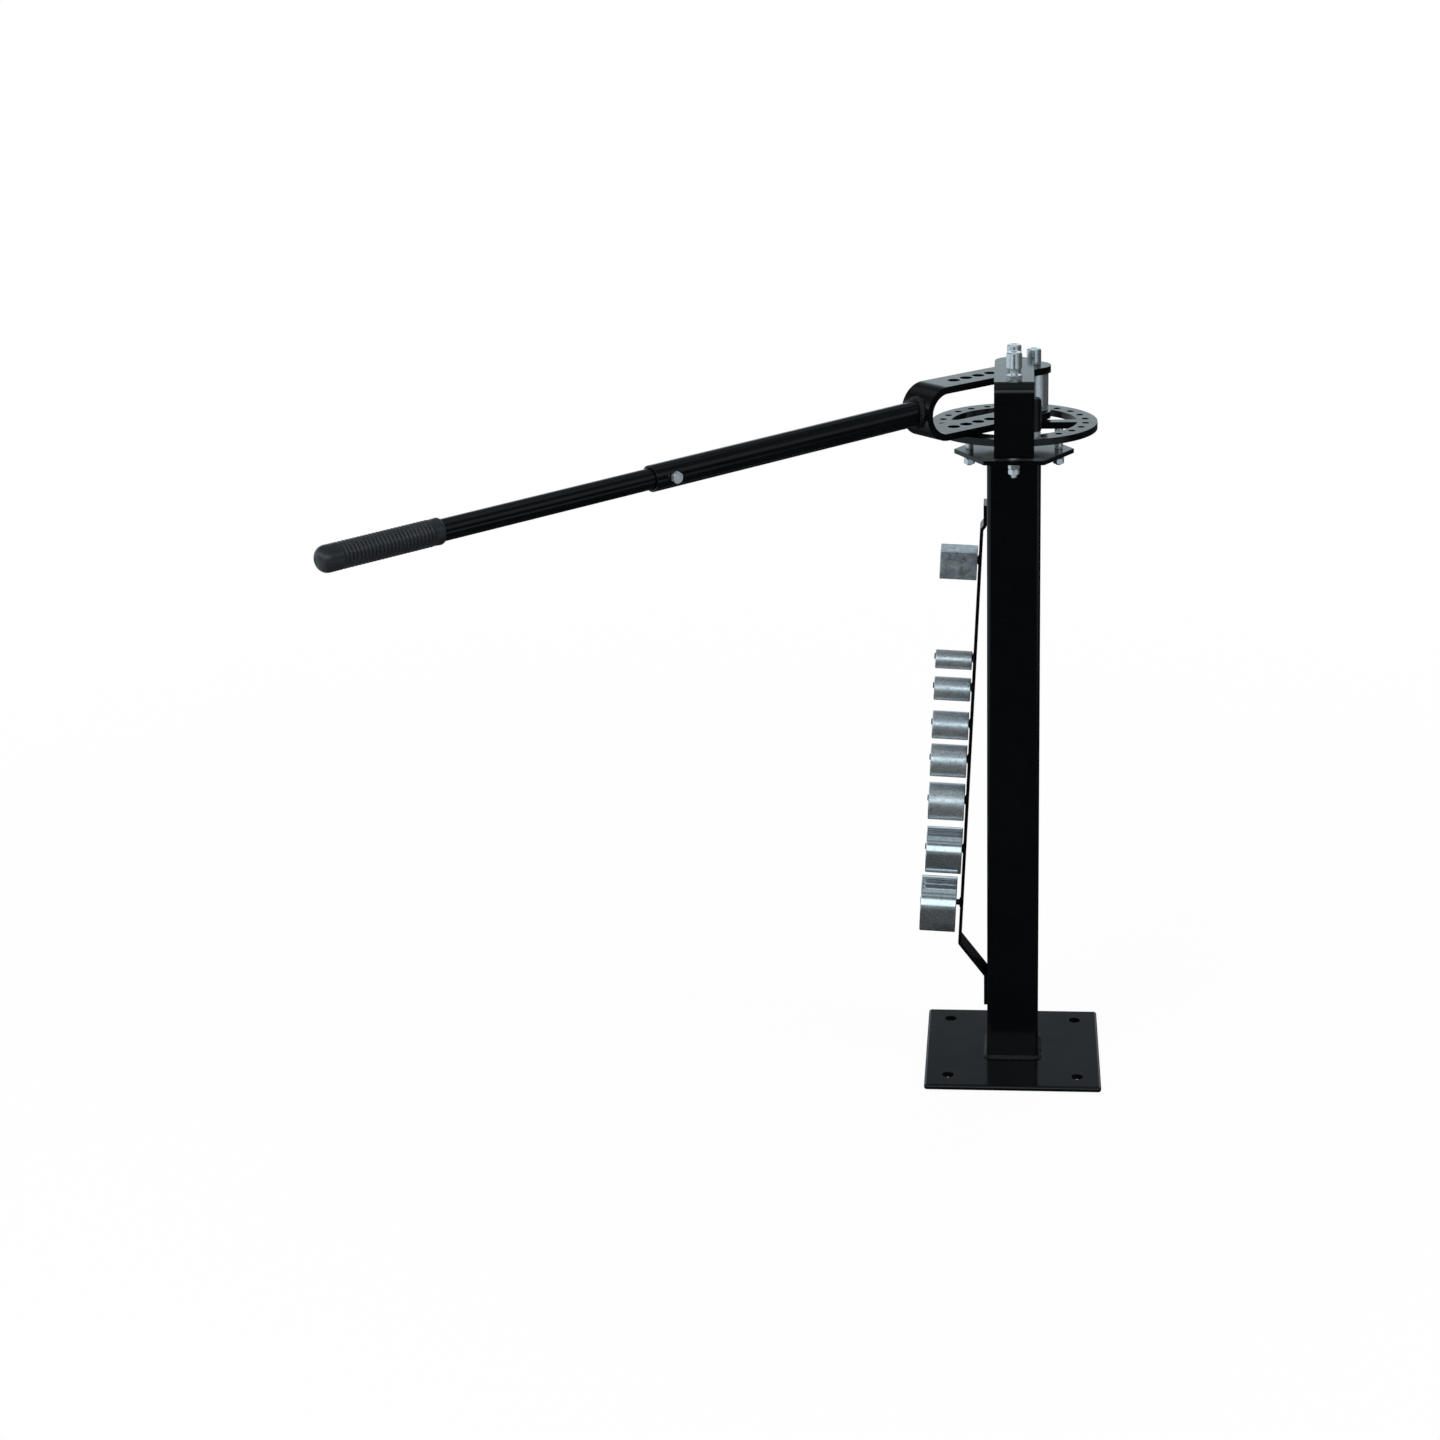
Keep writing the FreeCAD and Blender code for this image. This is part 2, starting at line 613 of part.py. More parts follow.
def makeGrip():
    corners = [("extension_radius", "grip_start"), ("grip_radius", "grip_start")]
    for rib in range(int(value("rib_count"))):
        corners += [("grip_radius", f"rib_start + rib_pitch * {rib}"),
                    ("grip_radius - rib_depth", f"rib_start + rib_pitch * {rib + 0.5}")]
    corners += [("grip_radius", "rib_start + rib_pitch * rib_count"),
                ("grip_radius", "grip_end"), ("0", "grip_end"), ("0", "extension_end"),
                ("extension_radius", "extension_end")]
    grip = turned("handle_grip", corners)
    dress(grip, "Fillet", "grip_round", lambda edge: edgeAt(edge, x="0", y="0", z="grip_end"))
    return grip


# Rack: one flat bar bent away from the post, swept along its middle line
def makeRackBar():
    body = newBody("rack_bar")
    middle = "-(post_side / 2 + rack_thick / 2)"
    path = newSketch(body, "XZ_Plane")
    head = "rack_thick / 2 - rack_head_out"
    foot = f"{head} - (rack_head - rack_foot) * tan(rack_lean)"
    outline(path, [(middle, "rack_top"), (middle, "rack_upper_bend"), (head, "rack_head"),
                   (foot, "rack_foot"), (middle, "rack_lower_bend"), (middle, "rack_bottom")],
            closed=False)
    section = newSketch(body, "XY_Plane", "rack_top")
    rectangle(section, f"{middle} - rack_thick / 2", f"{middle} + rack_thick / 2",
              "-rack_width / 2", "rack_width / 2")
    doc.recompute()
    sweep = body.newObject("PartDesign::AdditivePipe", "rack_bar_sweep")
    sweep.Profile = section
    sweep.Spine = (path, [f"Edge{number}" for number in range(1, 6)])
    sweep.Transition = "Right corner"


# A place on the rack: down the slanted face, out along a pin, and below its axis
def rackPlace(drop, out="0", below="0"):
    return {
        "x": f"-rack_head_out - ({drop} + {below}) * sin(rack_lean) - ({out}) * cos(rack_lean)",
        "z": f"rack_head - ({drop} + {below}) * cos(rack_lean) + ({out}) * sin(rack_lean)",
        "rotation": FreeCAD.Rotation(yAxis, value("rack_lean") - 90),
    }


def makeRackPins():
    pins = []
    for drop in ["block_drop"] + [name + "_drop" for name in roundDies]:
        where = rackPlace(drop)
        shaft = cylinder("rack_pin_shaft", "rack_pin_radius", "rack_pin_length", **where)
        bead = cone("rack_pin_bead", "rack_pin_weld", "rack_pin_weld_top",
                    "rack_pin_weld_height", **where)
        pins.append(fuse("rack_pin", shaft, bead))
    group("rack_pins", pins)


def makeDies():
    for name in roundDies:
        die = turned(name, tubeProfile("pin_bore", f"{name}_size / 2", "0", "die_length",
                                       "die_edge"))
        gap = "large_die_gap" if name == "die_76mm" else "die_gap"
        place(die, **rackPlace(name + "_drop", gap, "die_hang"))
    block = newBody("square_block")
    sketch = newSketch(block, "XY_Plane")
    rectangle(sketch, "-block_side / 2", "block_side / 2", "-block_side / 2", "block_side / 2")
    circle(sketch, "0", "0", "pin_bore")
    pad(block, sketch, "die_length")
    reach = value("block_side / 2")
    dress(block, "Chamfer", "die_edge", lambda edge: max(
        abs(edge.CenterOfMass.x), abs(edge.CenterOfMass.y)) > reach - 0.01)
    place(block, **rackPlace("block_drop", "die_gap", "die_hang"))


makeBasePlate()
makePost()
makeSquareBead("base_weld", "base_thick", FreeCAD.Rotation())
makeSquareBead("top_weld", "post_top", FreeCAD.Rotation(xAxis, 180))
makeTopPlate()
makeHoleDisc()
makeDiscFasteners()
makeFixedFrame()
makeClampScrew()
makeStop()
makePinsAndRoller()
makeYoke()
makeHandle()
makeRackBar()
makeRackPins()
makeDies()
doc.recompute()

# Every object has to be sound, and every cut has to take away more than a sliver
for thing in doc.Objects:
    if {"Invalid", "Error"} & set(thing.State):
        raise RuntimeError(f"{thing.Name} failed: {thing.State}")
for label, feature, before in cuts:
    if before and feature.Shape.Volume > before - 1:
        raise RuntimeError(f"a cut in {label} takes nothing away")
for piece in subParts:
    if piece.Shape.isNull() or not piece.Shape.isValid():
        raise RuntimeError(f"{piece.Label} has no valid shape")

os.makedirs("parts", exist_ok=True)
for piece in subParts:
    piece.Shape.exportStep(f"parts/{piece.Label}.step")
    print(f"{piece.Label}: {len(piece.Shape.Solids)} solids, {piece.Shape.Volume / 1000:.1f} cm3")
print(f"{len(subParts)} sub-parts written")
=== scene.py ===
import json
import math

import bpy
from mathutils import Matrix, Vector


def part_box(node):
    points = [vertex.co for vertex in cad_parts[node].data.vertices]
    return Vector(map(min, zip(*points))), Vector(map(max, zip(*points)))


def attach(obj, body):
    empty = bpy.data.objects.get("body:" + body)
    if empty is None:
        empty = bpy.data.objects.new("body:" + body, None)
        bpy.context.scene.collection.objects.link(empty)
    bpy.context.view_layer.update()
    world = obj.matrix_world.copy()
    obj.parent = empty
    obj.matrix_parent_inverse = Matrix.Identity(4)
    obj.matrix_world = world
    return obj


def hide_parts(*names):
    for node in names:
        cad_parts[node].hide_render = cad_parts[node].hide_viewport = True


# Scroll bender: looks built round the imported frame, in metres, +Z up
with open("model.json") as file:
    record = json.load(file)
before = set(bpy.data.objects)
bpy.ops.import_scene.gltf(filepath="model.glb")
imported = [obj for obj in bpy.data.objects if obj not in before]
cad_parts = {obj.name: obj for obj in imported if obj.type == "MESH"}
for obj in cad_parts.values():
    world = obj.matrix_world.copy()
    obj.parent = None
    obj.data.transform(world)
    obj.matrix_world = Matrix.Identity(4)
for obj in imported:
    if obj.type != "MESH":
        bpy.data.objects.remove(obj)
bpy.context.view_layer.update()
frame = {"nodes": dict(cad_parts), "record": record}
cadNodes = frame["nodes"]
print("frame loaded", len(cadNodes), "nodes")


# Node helpers for materials

def newMaterial(name):
    material = bpy.data.materials.new(name)
    material.use_nodes = True
    nodes = material.node_tree.nodes
    shader = nodes["Principled BSDF"]
    return material, nodes, material.node_tree.links, shader


def objectCoords(nodes):
    return nodes.new("ShaderNodeTexCoord").outputs["Object"]


def noise(nodes, links, coords, scale, detail=3.0, roughness=0.55):
    texture = nodes.new("ShaderNodeTexNoise")
    texture.inputs["Scale"].default_value = scale
    texture.inputs["Detail"].default_value = detail
    texture.inputs["Roughness"].default_value = roughness
    links.new(coords, texture.inputs["Vector"])
    return texture.outputs["Fac"]


def spread(nodes, links, source, low, high, fromLow=0.3, fromHigh=0.7):
    remap = nodes.new("ShaderNodeMapRange")
    remap.inputs["From Min"].default_value = fromLow
    remap.inputs["From Max"].default_value = fromHigh
    remap.inputs["To Min"].default_value = low
    remap.inputs["To Max"].default_value = high
    links.new(source, remap.inputs["Value"])
    return remap.outputs["Result"]


def mixColour(nodes, links, factor, first, second):
    mix = nodes.new("ShaderNodeMix")
    mix.data_type = "RGBA"
    for socket, colour in ((mix.inputs["A"], first), (mix.inputs["B"], second)):
        if isinstance(colour, tuple):
            socket.default_value = (*colour, 1)
        else:
            links.new(colour, socket)
    links.new(factor, mix.inputs["Factor"])
    return mix.outputs["Result"]


edgeRays = 6
flatMatch = 0.995  # how alike the rounded and the true normal are where a face counts as flat


# How far a surface is from flat within a small distance: 1 on sharp edges, 0 on faces
def edgeMask(nodes, links, radius, sharpness):
    bevel = nodes.new("ShaderNodeBevel")
    bevel.samples = edgeRays
    bevel.inputs["Radius"].default_value = radius
    geometry = nodes.new("ShaderNodeNewGeometry")
    dot = nodes.new("ShaderNodeVectorMath")
    dot.operation = "DOT_PRODUCT"
    links.new(bevel.outputs["Normal"], dot.inputs[0])
    links.new(geometry.outputs["Normal"], dot.inputs[1])
    return spread(nodes, links, dot.outputs["Value"], 1, 0, sharpness, flatMatch)


def bump(nodes, links, height, strength, distance, shader):
    node = nodes.new("ShaderNodeBump")
    node.inputs["Strength"].default_value = strength
    node.inputs["Distance"].default_value = distance
    links.new(height, node.inputs["Height"])
    links.new(node.outputs["Normal"], shader.inputs["Normal"])


# Powder coat: dark colour with slight cloudiness, fine orange peel and rubbed edges
def powderCoat(name, look):
    material, nodes, links, shader = newMaterial(name)
    coords = objectCoords(nodes)
    cloud = noise(nodes, links, coords, look["cloudScale"])
    colour = mixColour(nodes, links, spread(nodes, links, cloud, 0, 1), look["dark"], look["light"])
    rubbed = edgeMask(nodes, links, look["edgeRadius"], look["edgeSharpness"])
    patches = noise(nodes, links, coords, look["patchScale"])
    patchy = spread(nodes, links, patches, 0, look["edgeShare"])
    wear = nodes.new("ShaderNodeMath")
    wear.operation = "MULTIPLY"
    links.new(rubbed, wear.inputs[0])
    links.new(patchy, wear.inputs[1])
    colour = mixColour(nodes, links, wear.outputs["Value"], colour, look["edge"])
    links.new(colour, shader.inputs["Base Color"])
    rough = spread(nodes, links, noise(nodes, links, coords, look["roughScale"]), *look["roughness"])
    links.new(rough, shader.inputs["Roughness"])
    peel = noise(nodes, links, coords, look["peelScale"], 2)
    bump(nodes, links, peel, look["peelStrength"], look["peelDepth"], shader)
    shader.inputs["IOR"].default_value = look["ior"]
    return material


# Zinc plate: metal with a bluish or yellowish drift, blotches, specks and rubbed edges
def zincPlate(name, look):
    material, nodes, links, shader = newMaterial(name)
    coords = objectCoords(nodes)
    drift = spread(nodes, links, noise(nodes, links, coords, look["driftScale"]), 0, 1)
    colour = mixColour(nodes, links, drift, look["cool"], look["warm"])
    speck = spread(nodes, links, noise(nodes, links, coords, look["speckScale"], 1),
                   0, look["speckShare"], *look["speckRange"])
    colour = mixColour(nodes, links, speck, colour, look["speck"])
    shiny = edgeMask(nodes, links, look["edgeRadius"], look["edgeSharpness"])
    colour = mixColour(nodes, links, shiny, colour, look["edge"])
    links.new(colour, shader.inputs["Base Color"])
    rough = spread(nodes, links, noise(nodes, links, coords, look["roughScale"]), *look["roughness"])
    links.new(rough, shader.inputs["Roughness"])
    grain = noise(nodes, links, coords, look["grainScale"], 2)
    bump(nodes, links, grain, look["grainStrength"], look["grainDepth"], shader)
    shader.inputs["Metallic"].default_value = look["metallic"]
    return material


# Rubber: dark and cloudy, with lighter rubbed ribs and a fine grain
def rubber(name, look):
    material, nodes, links, shader = newMaterial(name)
    coords = objectCoords(nodes)
    cloud = spread(nodes, links, noise(nodes, links, coords, look["cloudScale"]), 0, 1)
    colour = mixColour(nodes, links, cloud, look["dark"], look["light"])
    rubbed = edgeMask(nodes, links, look["edgeRadius"], look["edgeSharpness"])
    colour = mixColour(nodes, links, rubbed, colour, look["edge"])
    links.new(colour, shader.inputs["Base Color"])
    rough = spread(nodes, links, noise(nodes, links, coords, look["roughScale"]), *look["roughness"])
    links.new(rough, shader.inputs["Roughness"])
    grain = noise(nodes, links, coords, look["grainScale"], 1)
    bump(nodes, links, grain, look["grainStrength"], look["grainDepth"], shader)
    return material


blackLook = {
    "dark": (0.0011, 0.0013, 0.0016), "light": (0.002, 0.0023, 0.0028),
    "edge": (0.012, 0.014, 0.016), "cloudScale": 14, "edgeRadius": 0.0007, "edgeSharpness": 0.75,
    "edgeShare": 0.4, "patchScale": 260, "roughScale": 35, "roughness": (0.1, 0.17),
    "peelScale": 420, "peelStrength": 0.08, "peelDepth": 0.0002, "ior": 1.4,
}
baseLook = dict(blackLook, dark=(0.0016, 0.0022, 0.0026), light=(0.003, 0.0038, 0.0044),
                roughness=(0.09, 0.15), peelStrength=0.06)
sleeveLook = dict(blackLook, roughness=(0.16, 0.26), peelStrength=0.05)
zincLook = {
    "cool": (0.56, 0.63, 0.68), "warm": (0.7, 0.73, 0.74), "edge": (0.86, 0.9, 0.93),
    "edgeRadius": 0.0008, "edgeSharpness": 0.8, "speck": (0.3, 0.34, 0.38), "speckScale": 360,
    "speckShare": 0.6, "speckRange": (0.52, 0.7), "driftScale": 32, "roughScale": 130,
    "roughness": (0.26, 0.46), "grainScale": 520, "grainStrength": 0.5, "grainDepth": 0.0001,
    "metallic": 0.85,
}
smoothZincLook = dict(zincLook, cool=(0.62, 0.69, 0.74), warm=(0.74, 0.77, 0.79), speckShare=0.3,
                      speckScale=240, roughScale=70, roughness=(0.1, 0.2), grainStrength=0.14,
                      metallic=0.93)
blockLook = dict(zincLook, cool=(0.36, 0.43, 0.49), warm=(0.78, 0.82, 0.85), driftScale=110,
                 speckScale=210, roughness=(0.24, 0.42), metallic=0.88)
fastenerLook = dict(zincLook, cool=(0.7, 0.76, 0.81), warm=(0.83, 0.85, 0.86), speckShare=0.3,
                    roughScale=300, roughness=(0.14, 0.26), grainStrength=0.15)
brightLook = dict(fastenerLook, cool=(0.72, 0.79, 0.84), warm=(0.85, 0.87, 0.88),
                  speckShare=0.2, roughness=(0.12, 0.22), metallic=0.92)
gripLook = {
    "dark": (0.01, 0.0115, 0.014), "light": (0.018, 0.021, 0.025), "cloudScale": 30,
    "edge": (0.05, 0.054, 0.06), "edgeRadius": 0.0006, "edgeSharpness": 0.7, "roughScale": 120,
    "roughness": (0.28, 0.4), "grainScale": 1500, "grainStrength": 0.2, "grainDepth": 0.0002,
}

blackPowder = powderCoat("blackPowderCoat", blackLook)
smoothZinc = zincPlate("smoothZinc", smoothZincLook)
slotMaterials = {
    "black_powder": blackPowder, "base_powder": powderCoat("basePowderCoat", baseLook),
    "black_sleeve": powderCoat("blackOxide", sleeveLook),
    "zinc": zincPlate("zincFasteners", fastenerLook),
    "zinc_die": zincPlate("speckledZinc", zincLook), "zinc_block": zincPlate("blockZinc", blockLook),
    "bright_steel": zincPlate("brightSteel", brightLook), "grip_rubber": rubber("gripRubber", gripLook),
}
nodeSlots = {part["node"]: part["material_slot"] for part in frame["record"]["subparts"]}
nodeBodies = {node: body for body, members in frame["record"]["behaviour"]["bodies"].items()
              for node in members}
for name, node in cadNodes.items():
    for slot in node.material_slots:
        slot.material = slotMaterials[nodeSlots[name]]
print("materials given to the frame's nodes")


# Modelling helpers

mergeWithin = 0.000001  # corners closer than this become one
tiny = 0.00001  # too short to count as a length


def only(piece):
    bpy.ops.object.select_all(action="DESELECT")
    piece.select_set(True)
    bpy.context.view_layer.objects.active = piece


def useModifier(piece, name):
    only(piece)
    bpy.ops.object.modifier_apply(modifier=name)


# Rounds every edge sharper than an angle, then shades the piece smooth
def softenEdges(piece, width, segments=2, sharp=35):
    if width:
        bevel = piece.modifiers.new("softEdges", "BEVEL")
        bevel.width = width
        bevel.segments = segments
        bevel.limit_method = "ANGLE"
        bevel.angle_limit = math.radians(sharp)
        useModifier(piece, bevel.name)
    only(piece)
    bpy.ops.object.shade_smooth_by_angle(angle=math.radians(sharp))


# Gives a finished piece its place in its mesh, its material, its body and its nodes
def finishPiece(piece, node, material=None, replaced=()):
    only(piece)
    bpy.ops.object.transform_apply(location=True, rotation=True, scale=True)
    weigh = piece.modifiers.new("flatFaces", "WEIGHTED_NORMAL")
    weigh.keep_sharp = True
    useModifier(piece, weigh.name)
    piece.data.materials.clear()
    piece.data.materials.append(material or slotMaterials[nodeSlots[node]])
    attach(piece, nodeBodies[node])
    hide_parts(*(replaced or (node,)))
    return piece


def layAlong(piece, origin, axis):
    turn = Vector(axis).to_track_quat("Z", "Y").to_matrix().to_4x4()
    piece.matrix_world = Matrix.Translation(origin) @ turn


def boxMiddle(node):
    low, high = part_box(node)
    return (Vector(low) + Vector(high)) / 2


# A box at its size and place, to be cut and drilled
def boxBlank(name, low, high):
    bpy.ops.object.select_all(action="DESELECT")
    bpy.ops.mesh.primitive_cube_add(size=1, location=(Vector(low) + Vector(high)) / 2)
    piece = bpy.context.object
    piece.name = name
    piece.scale = Vector(high) - Vector(low)
    bpy.ops.object.transform_apply(location=True, rotation=True, scale=True)
    return piece


# A round piece drawn up from a circle, one ring for each radius and level of its profile
def turnedPiece(name, profile, sides=64, hollow=False, turn=0):
    bpy.ops.object.select_all(action="DESELECT")
    radius, level = profile[0]
    bpy.ops.mesh.primitive_circle_add(vertices=sides, radius=radius, rotation=(0, 0, turn),
                                      fill_type="NOTHING" if hollow else "NGON")
    piece = bpy.context.object
    piece.name = name
    bpy.ops.object.transform_apply(location=True, rotation=True, scale=True)
    bpy.ops.object.mode_set(mode="EDIT")
    bpy.ops.mesh.select_all(action="SELECT")
    bpy.ops.transform.translate(value=(0, 0, level))
    for nextRadius, nextLevel in profile[1:] + (profile[:1] if hollow else []):
        bpy.ops.mesh.extrude_region_move(
            TRANSFORM_OT_translate={"value": (0, 0, nextLevel - level)})
        ratio = nextRadius / radius
        bpy.ops.transform.resize(value=(ratio, ratio, 1))
        radius, level = nextRadius, nextLevel
    bpy.ops.mesh.select_all(action="SELECT")
    bpy.ops.mesh.remove_doubles(threshold=mergeWithin)
    bpy.ops.mesh.normals_make_consistent(inside=False)
    bpy.ops.object.mode_set(mode="OBJECT")
    return piece


def tubeRings(bore, radius, low, high, edge):
    return [(bore, low + edge), (bore + edge, low), (radius - edge, low), (radius, low + edge),
            (radius, high - edge), (radius - edge, high), (bore + edge, high), (bore, high - edge)]


crest = (0.4, 0.6)  # where a thread's crest starts and ends within its pitch


# The crests and roots of a thread as rings, from one level to another
def threadRings(radius, depth, pitch, low, high):
    turns = max(int((high - low) / pitch), 1)
    step = (high - low) / turns
    rings = [(radius - depth, low)]
    for turn in range(turns):
        rings += [(radius, low + step * (turn + share)) for share in crest]
        rings.append((radius - depth, low + step * (turn + 1)))
    return rings


# A straight cutter or blank, standing at a place
def rod(radius, low, high, across=0.0, along=0.0, sides=48):
    piece = turnedPiece("rod", [(radius, low), (radius, high)], sides)
    piece.location = (across, along, 0)
    return piece


# Cuts a piece with tools, or keeps only what both share, and clears the tools away
def carve(piece, *tools, keep="DIFFERENCE"):
    for tool in tools:
        cutting = piece.modifiers.new("carve", "BOOLEAN")
        cutting.operation = keep
        cutting.object = tool
        useModifier(piece, cutting.name)
        bpy.data.objects.remove(tool)
    return piece


def joinPieces(name, pieces):
    only(pieces[0])
    for piece in pieces[1:]:
        piece.select_set(True)
    bpy.ops.object.join()
    pieces[0].name = name
    return pieces[0]


def copyPiece(piece):
    twin = piece.copy()
    twin.data = piece.data.copy()
    bpy.context.collection.objects.link(twin)
    return twin


# Shares of a nut's or head's reach, height and bore, and its soft edge
hexShape = {"face": 0.86, "rims": ((0.935, 0.05), (1.01, 0.17)), "flare": 1.12, "flareDepth": 0.12,
            "overcut": 0.0001, "softEdge": 0.00015}


# A hexagon whose corners a barrel shape rounds off, with or without a bore
def hexPiece(name, reach, low, high, bore=0.0, turn=0.0):
    height = high - low
    piece = turnedPiece(name, [(reach, low), (reach, high)], sides=6, turn=turn)
    face = reach * hexShape["face"]
    rims = [(reach * share, height * rise) for share, rise in hexShape["rims"]]
    below = [(radius, low + rise) for radius, rise in rims]
    above = [(radius, high - rise) for radius, rise in reversed(rims)]
    barrel = turnedPiece("barrel", [(face, low - tiny)] + below + above + [(face, high + tiny)],
                         sides=48)
    carve(piece, barrel, keep="INTERSECT")
    if bore:
        flare, depth = bore * hexShape["flare"], bore * hexShape["flareDepth"]
        over = hexShape["overcut"]
        carve(piece, turnedPiece("bore", [
            (flare, low - over), (flare, low), (bore, low + depth),
            (bore, high - depth), (flare, high), (flare, high + over)], sides=40))
    softenEdges(piece, hexShape["softEdge"], segments=1, sharp=25)
    return piece


# A flat bar drawn from its end face along its middle line, seen from the side, with round bends
def bentBar(name, width, thick, points, radius, steps=8):
    spots = [Vector((across, 0, level)) for across, level in points]
    leads = [(after - before).normalized() for before, after in zip(spots, spots[1:])]
    bpy.ops.object.select_all(action="DESELECT")
    lean = math.atan2(leads[0].x, leads[0].z)
    bpy.ops.mesh.primitive_plane_add(size=1, location=spots[0], rotation=(0, lean, 0))
    piece = bpy.context.object
    piece.name = name
    piece.scale = (thick, width, 1)
    bpy.ops.object.transform_apply(location=True, rotation=True, scale=True)
    bpy.ops.object.mode_set(mode="EDIT")
    bpy.ops.mesh.select_all(action="SELECT")
    at = spots[0]
    for index, lead in enumerate(leads):
        last = index == len(leads) - 1
        turn = 0 if last else lead.angle(leads[index + 1])
        run = spots[index + 1] - at - lead * radius * math.tan(turn / 2)
        if run.length > tiny:
            bpy.ops.mesh.extrude_region_move(TRANSFORM_OT_translate={"value": run})
        at = at + run
        if not last:
            side = 1 if lead.cross(leads[index + 1]).y > 0 else -1
            centre = at + Vector((0, side, 0)).cross(lead) * radius
            bpy.ops.mesh.spin(steps=steps, angle=-turn * side, center=centre, axis=(0, 1, 0))
            at = spots[index + 1] + leads[index + 1] * radius * math.tan(turn / 2)
    bpy.ops.mesh.select_all(action="SELECT")
    bpy.ops.mesh.remove_doubles(threshold=mergeWithin)
    bpy.ops.mesh.normals_make_consistent(inside=False)
    bpy.ops.object.mode_set(mode="OBJECT")
    return piece


overcut = 0.01  # how far cutters run past what they cut
endShape = {"flat": 0.0002, "reach": 1.3}


# Rounds the end of a bar's arms: what lies outside a half circle is cut away
def roundEnd(piece, middle, outward, half, low, high):
    reach = half * endShape["reach"]
    near, far = sorted((middle + outward * endShape["flat"], middle + outward * reach))
    corner = boxBlank("corner", (near, -reach, low), (far, reach, high))
    carve(corner, rod(half, low - overcut, high + overcut, middle, sides=96))
    carve(piece, corner)


# Stand

standLook = {"plateEdge": 0.0009, "plateCorner": 0.004, "postCorner": 0.006, "boltHole": 0.008,
             "boltPitch": 0.176, "boltCut": (-0.01, 0.02), "postWall": 0.003, "topEdge": 0.00054,
             "studReach": 0.058, "studHole": 0.0042, "studCut": (0.8, 1)}


# Rounds the four standing edges of a box
def roundUprightEdges(piece, radius, segments):
    only(piece)
    bpy.ops.object.mode_set(mode="EDIT")
    bpy.ops.mesh.select_all(action="DESELECT")
    bpy.ops.object.mode_set(mode="OBJECT")
    points = piece.data.vertices
    for edge in piece.data.edges:
        low, high = (points[number].co for number in edge.vertices)
        edge.select = (low - high).xy.length < tiny
    bpy.ops.object.mode_set(mode="EDIT")
    bpy.ops.mesh.select_mode(type="EDGE")
    bpy.ops.mesh.bevel(offset=radius, segments=segments, affect="EDGES")
    bpy.ops.object.mode_set(mode="OBJECT")


def makeBasePlate():
    low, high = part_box("base_plate")
    plate = boxBlank("base_plate_steel", low, high)
    roundUprightEdges(plate, standLook["plateCorner"], segments=5)
    half = standLook["boltPitch"] / 2
    carve(plate, *[rod(standLook["boltHole"], *standLook["boltCut"], across, along)
                   for across in (-half, half) for along in (-half, half)])
    softenEdges(plate, standLook["plateEdge"], segments=3)
    finishPiece(plate, "base_plate")


def makePost():
    low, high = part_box("post")
    post = boxBlank("post_tube", low, high)
    roundUprightEdges(post, standLook["postCorner"], segments=6)
    wall = standLook["postWall"]
    inset = Vector((wall, wall, -overcut))
    inside = boxBlank("inside", Vector(low) + inset, Vector(high) - inset)
    roundUprightEdges(inside, standLook["postCorner"] - wall, segments=4)
    carve(post, inside)
    softenEdges(post, 0)
    finishPiece(post, "post")


def makeTopPlate():
    low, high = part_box("top_plate")
    plate = turnedPiece("top_plate_steel", [(high[0], low[2]), (high[0], high[2])], sides=6,
                        turn=math.pi / 6)
    hole, reach = standLook["studHole"], standLook["studReach"]
    carve(plate, *[rod(hole, *standLook["studCut"], reach * math.cos(turn), reach * math.sin(turn))
                   for turn in (0, math.pi / 2, math.pi, -math.pi / 2)])
    softenEdges(plate, standLook["topEdge"], segments=3)
    finishPiece(plate, "top_plate")


# Weld beads: the frame's bead remeshed fine, rippled across its run and made uneven

weldLook = {"voxel": 0.00055, "ripple": 0.0052, "rippleHeight": 0.0013, "rippleNoise": 4,
            "lump": 0.006, "lumpHeight": 0.0012, "sink": 0.7, "melt": 0.5, "meltRounds": 2}


def makeWeld(node):
    bead = copyPiece(cadNodes[node])
    bead.name = node + "_bead"
    bead.hide_render = False
    only(bead)
    bpy.ops.object.mode_set(mode="EDIT")
    bpy.ops.mesh.select_all(action="SELECT")
    bpy.ops.mesh.remove_doubles(threshold=tiny)
    bpy.ops.object.mode_set(mode="OBJECT")
    bead.data.remesh_voxel_size = weldLook["voxel"]
    bpy.ops.object.voxel_remesh()
    for kind, size, height in (("WOOD", weldLook["ripple"], weldLook["rippleHeight"]),
                               ("CLOUDS", weldLook["lump"], weldLook["lumpHeight"])):
        pattern = bpy.data.textures.new(kind.lower(), kind)
        if kind == "WOOD":
            pattern.wood_type = "BANDNOISE"
            pattern.turbulence = weldLook["rippleNoise"]
        bpy.ops.object.empty_add()
        ruler = bpy.context.object
        ruler.scale = (size, size, size)
        bpy.context.view_layer.update()
        displace = bead.modifiers.new(kind.lower(), "DISPLACE")
        displace.texture = pattern
        displace.texture_coords = "OBJECT"
        displace.texture_coords_object = ruler
        displace.strength = height
        displace.mid_level = weldLook["sink"]
        useModifier(bead, displace.name)
        bpy.data.objects.remove(ruler)
    smooth = bead.modifiers.new("melt", "SMOOTH")
    smooth.factor = weldLook["melt"]
    smooth.iterations = weldLook["meltRounds"]
    useModifier(bead, smooth.name)
    only(bead)
    bpy.ops.object.shade_smooth()
    finishPiece(bead, node)


makeBasePlate()
makePost()
makeTopPlate()
for beadNode in ("base_weld", "top_weld", "yoke_weld"):
    makeWeld(beadNode)
print("stand made")


# Head: drilled disc with its studs, the fixed frame, the pins and the stop

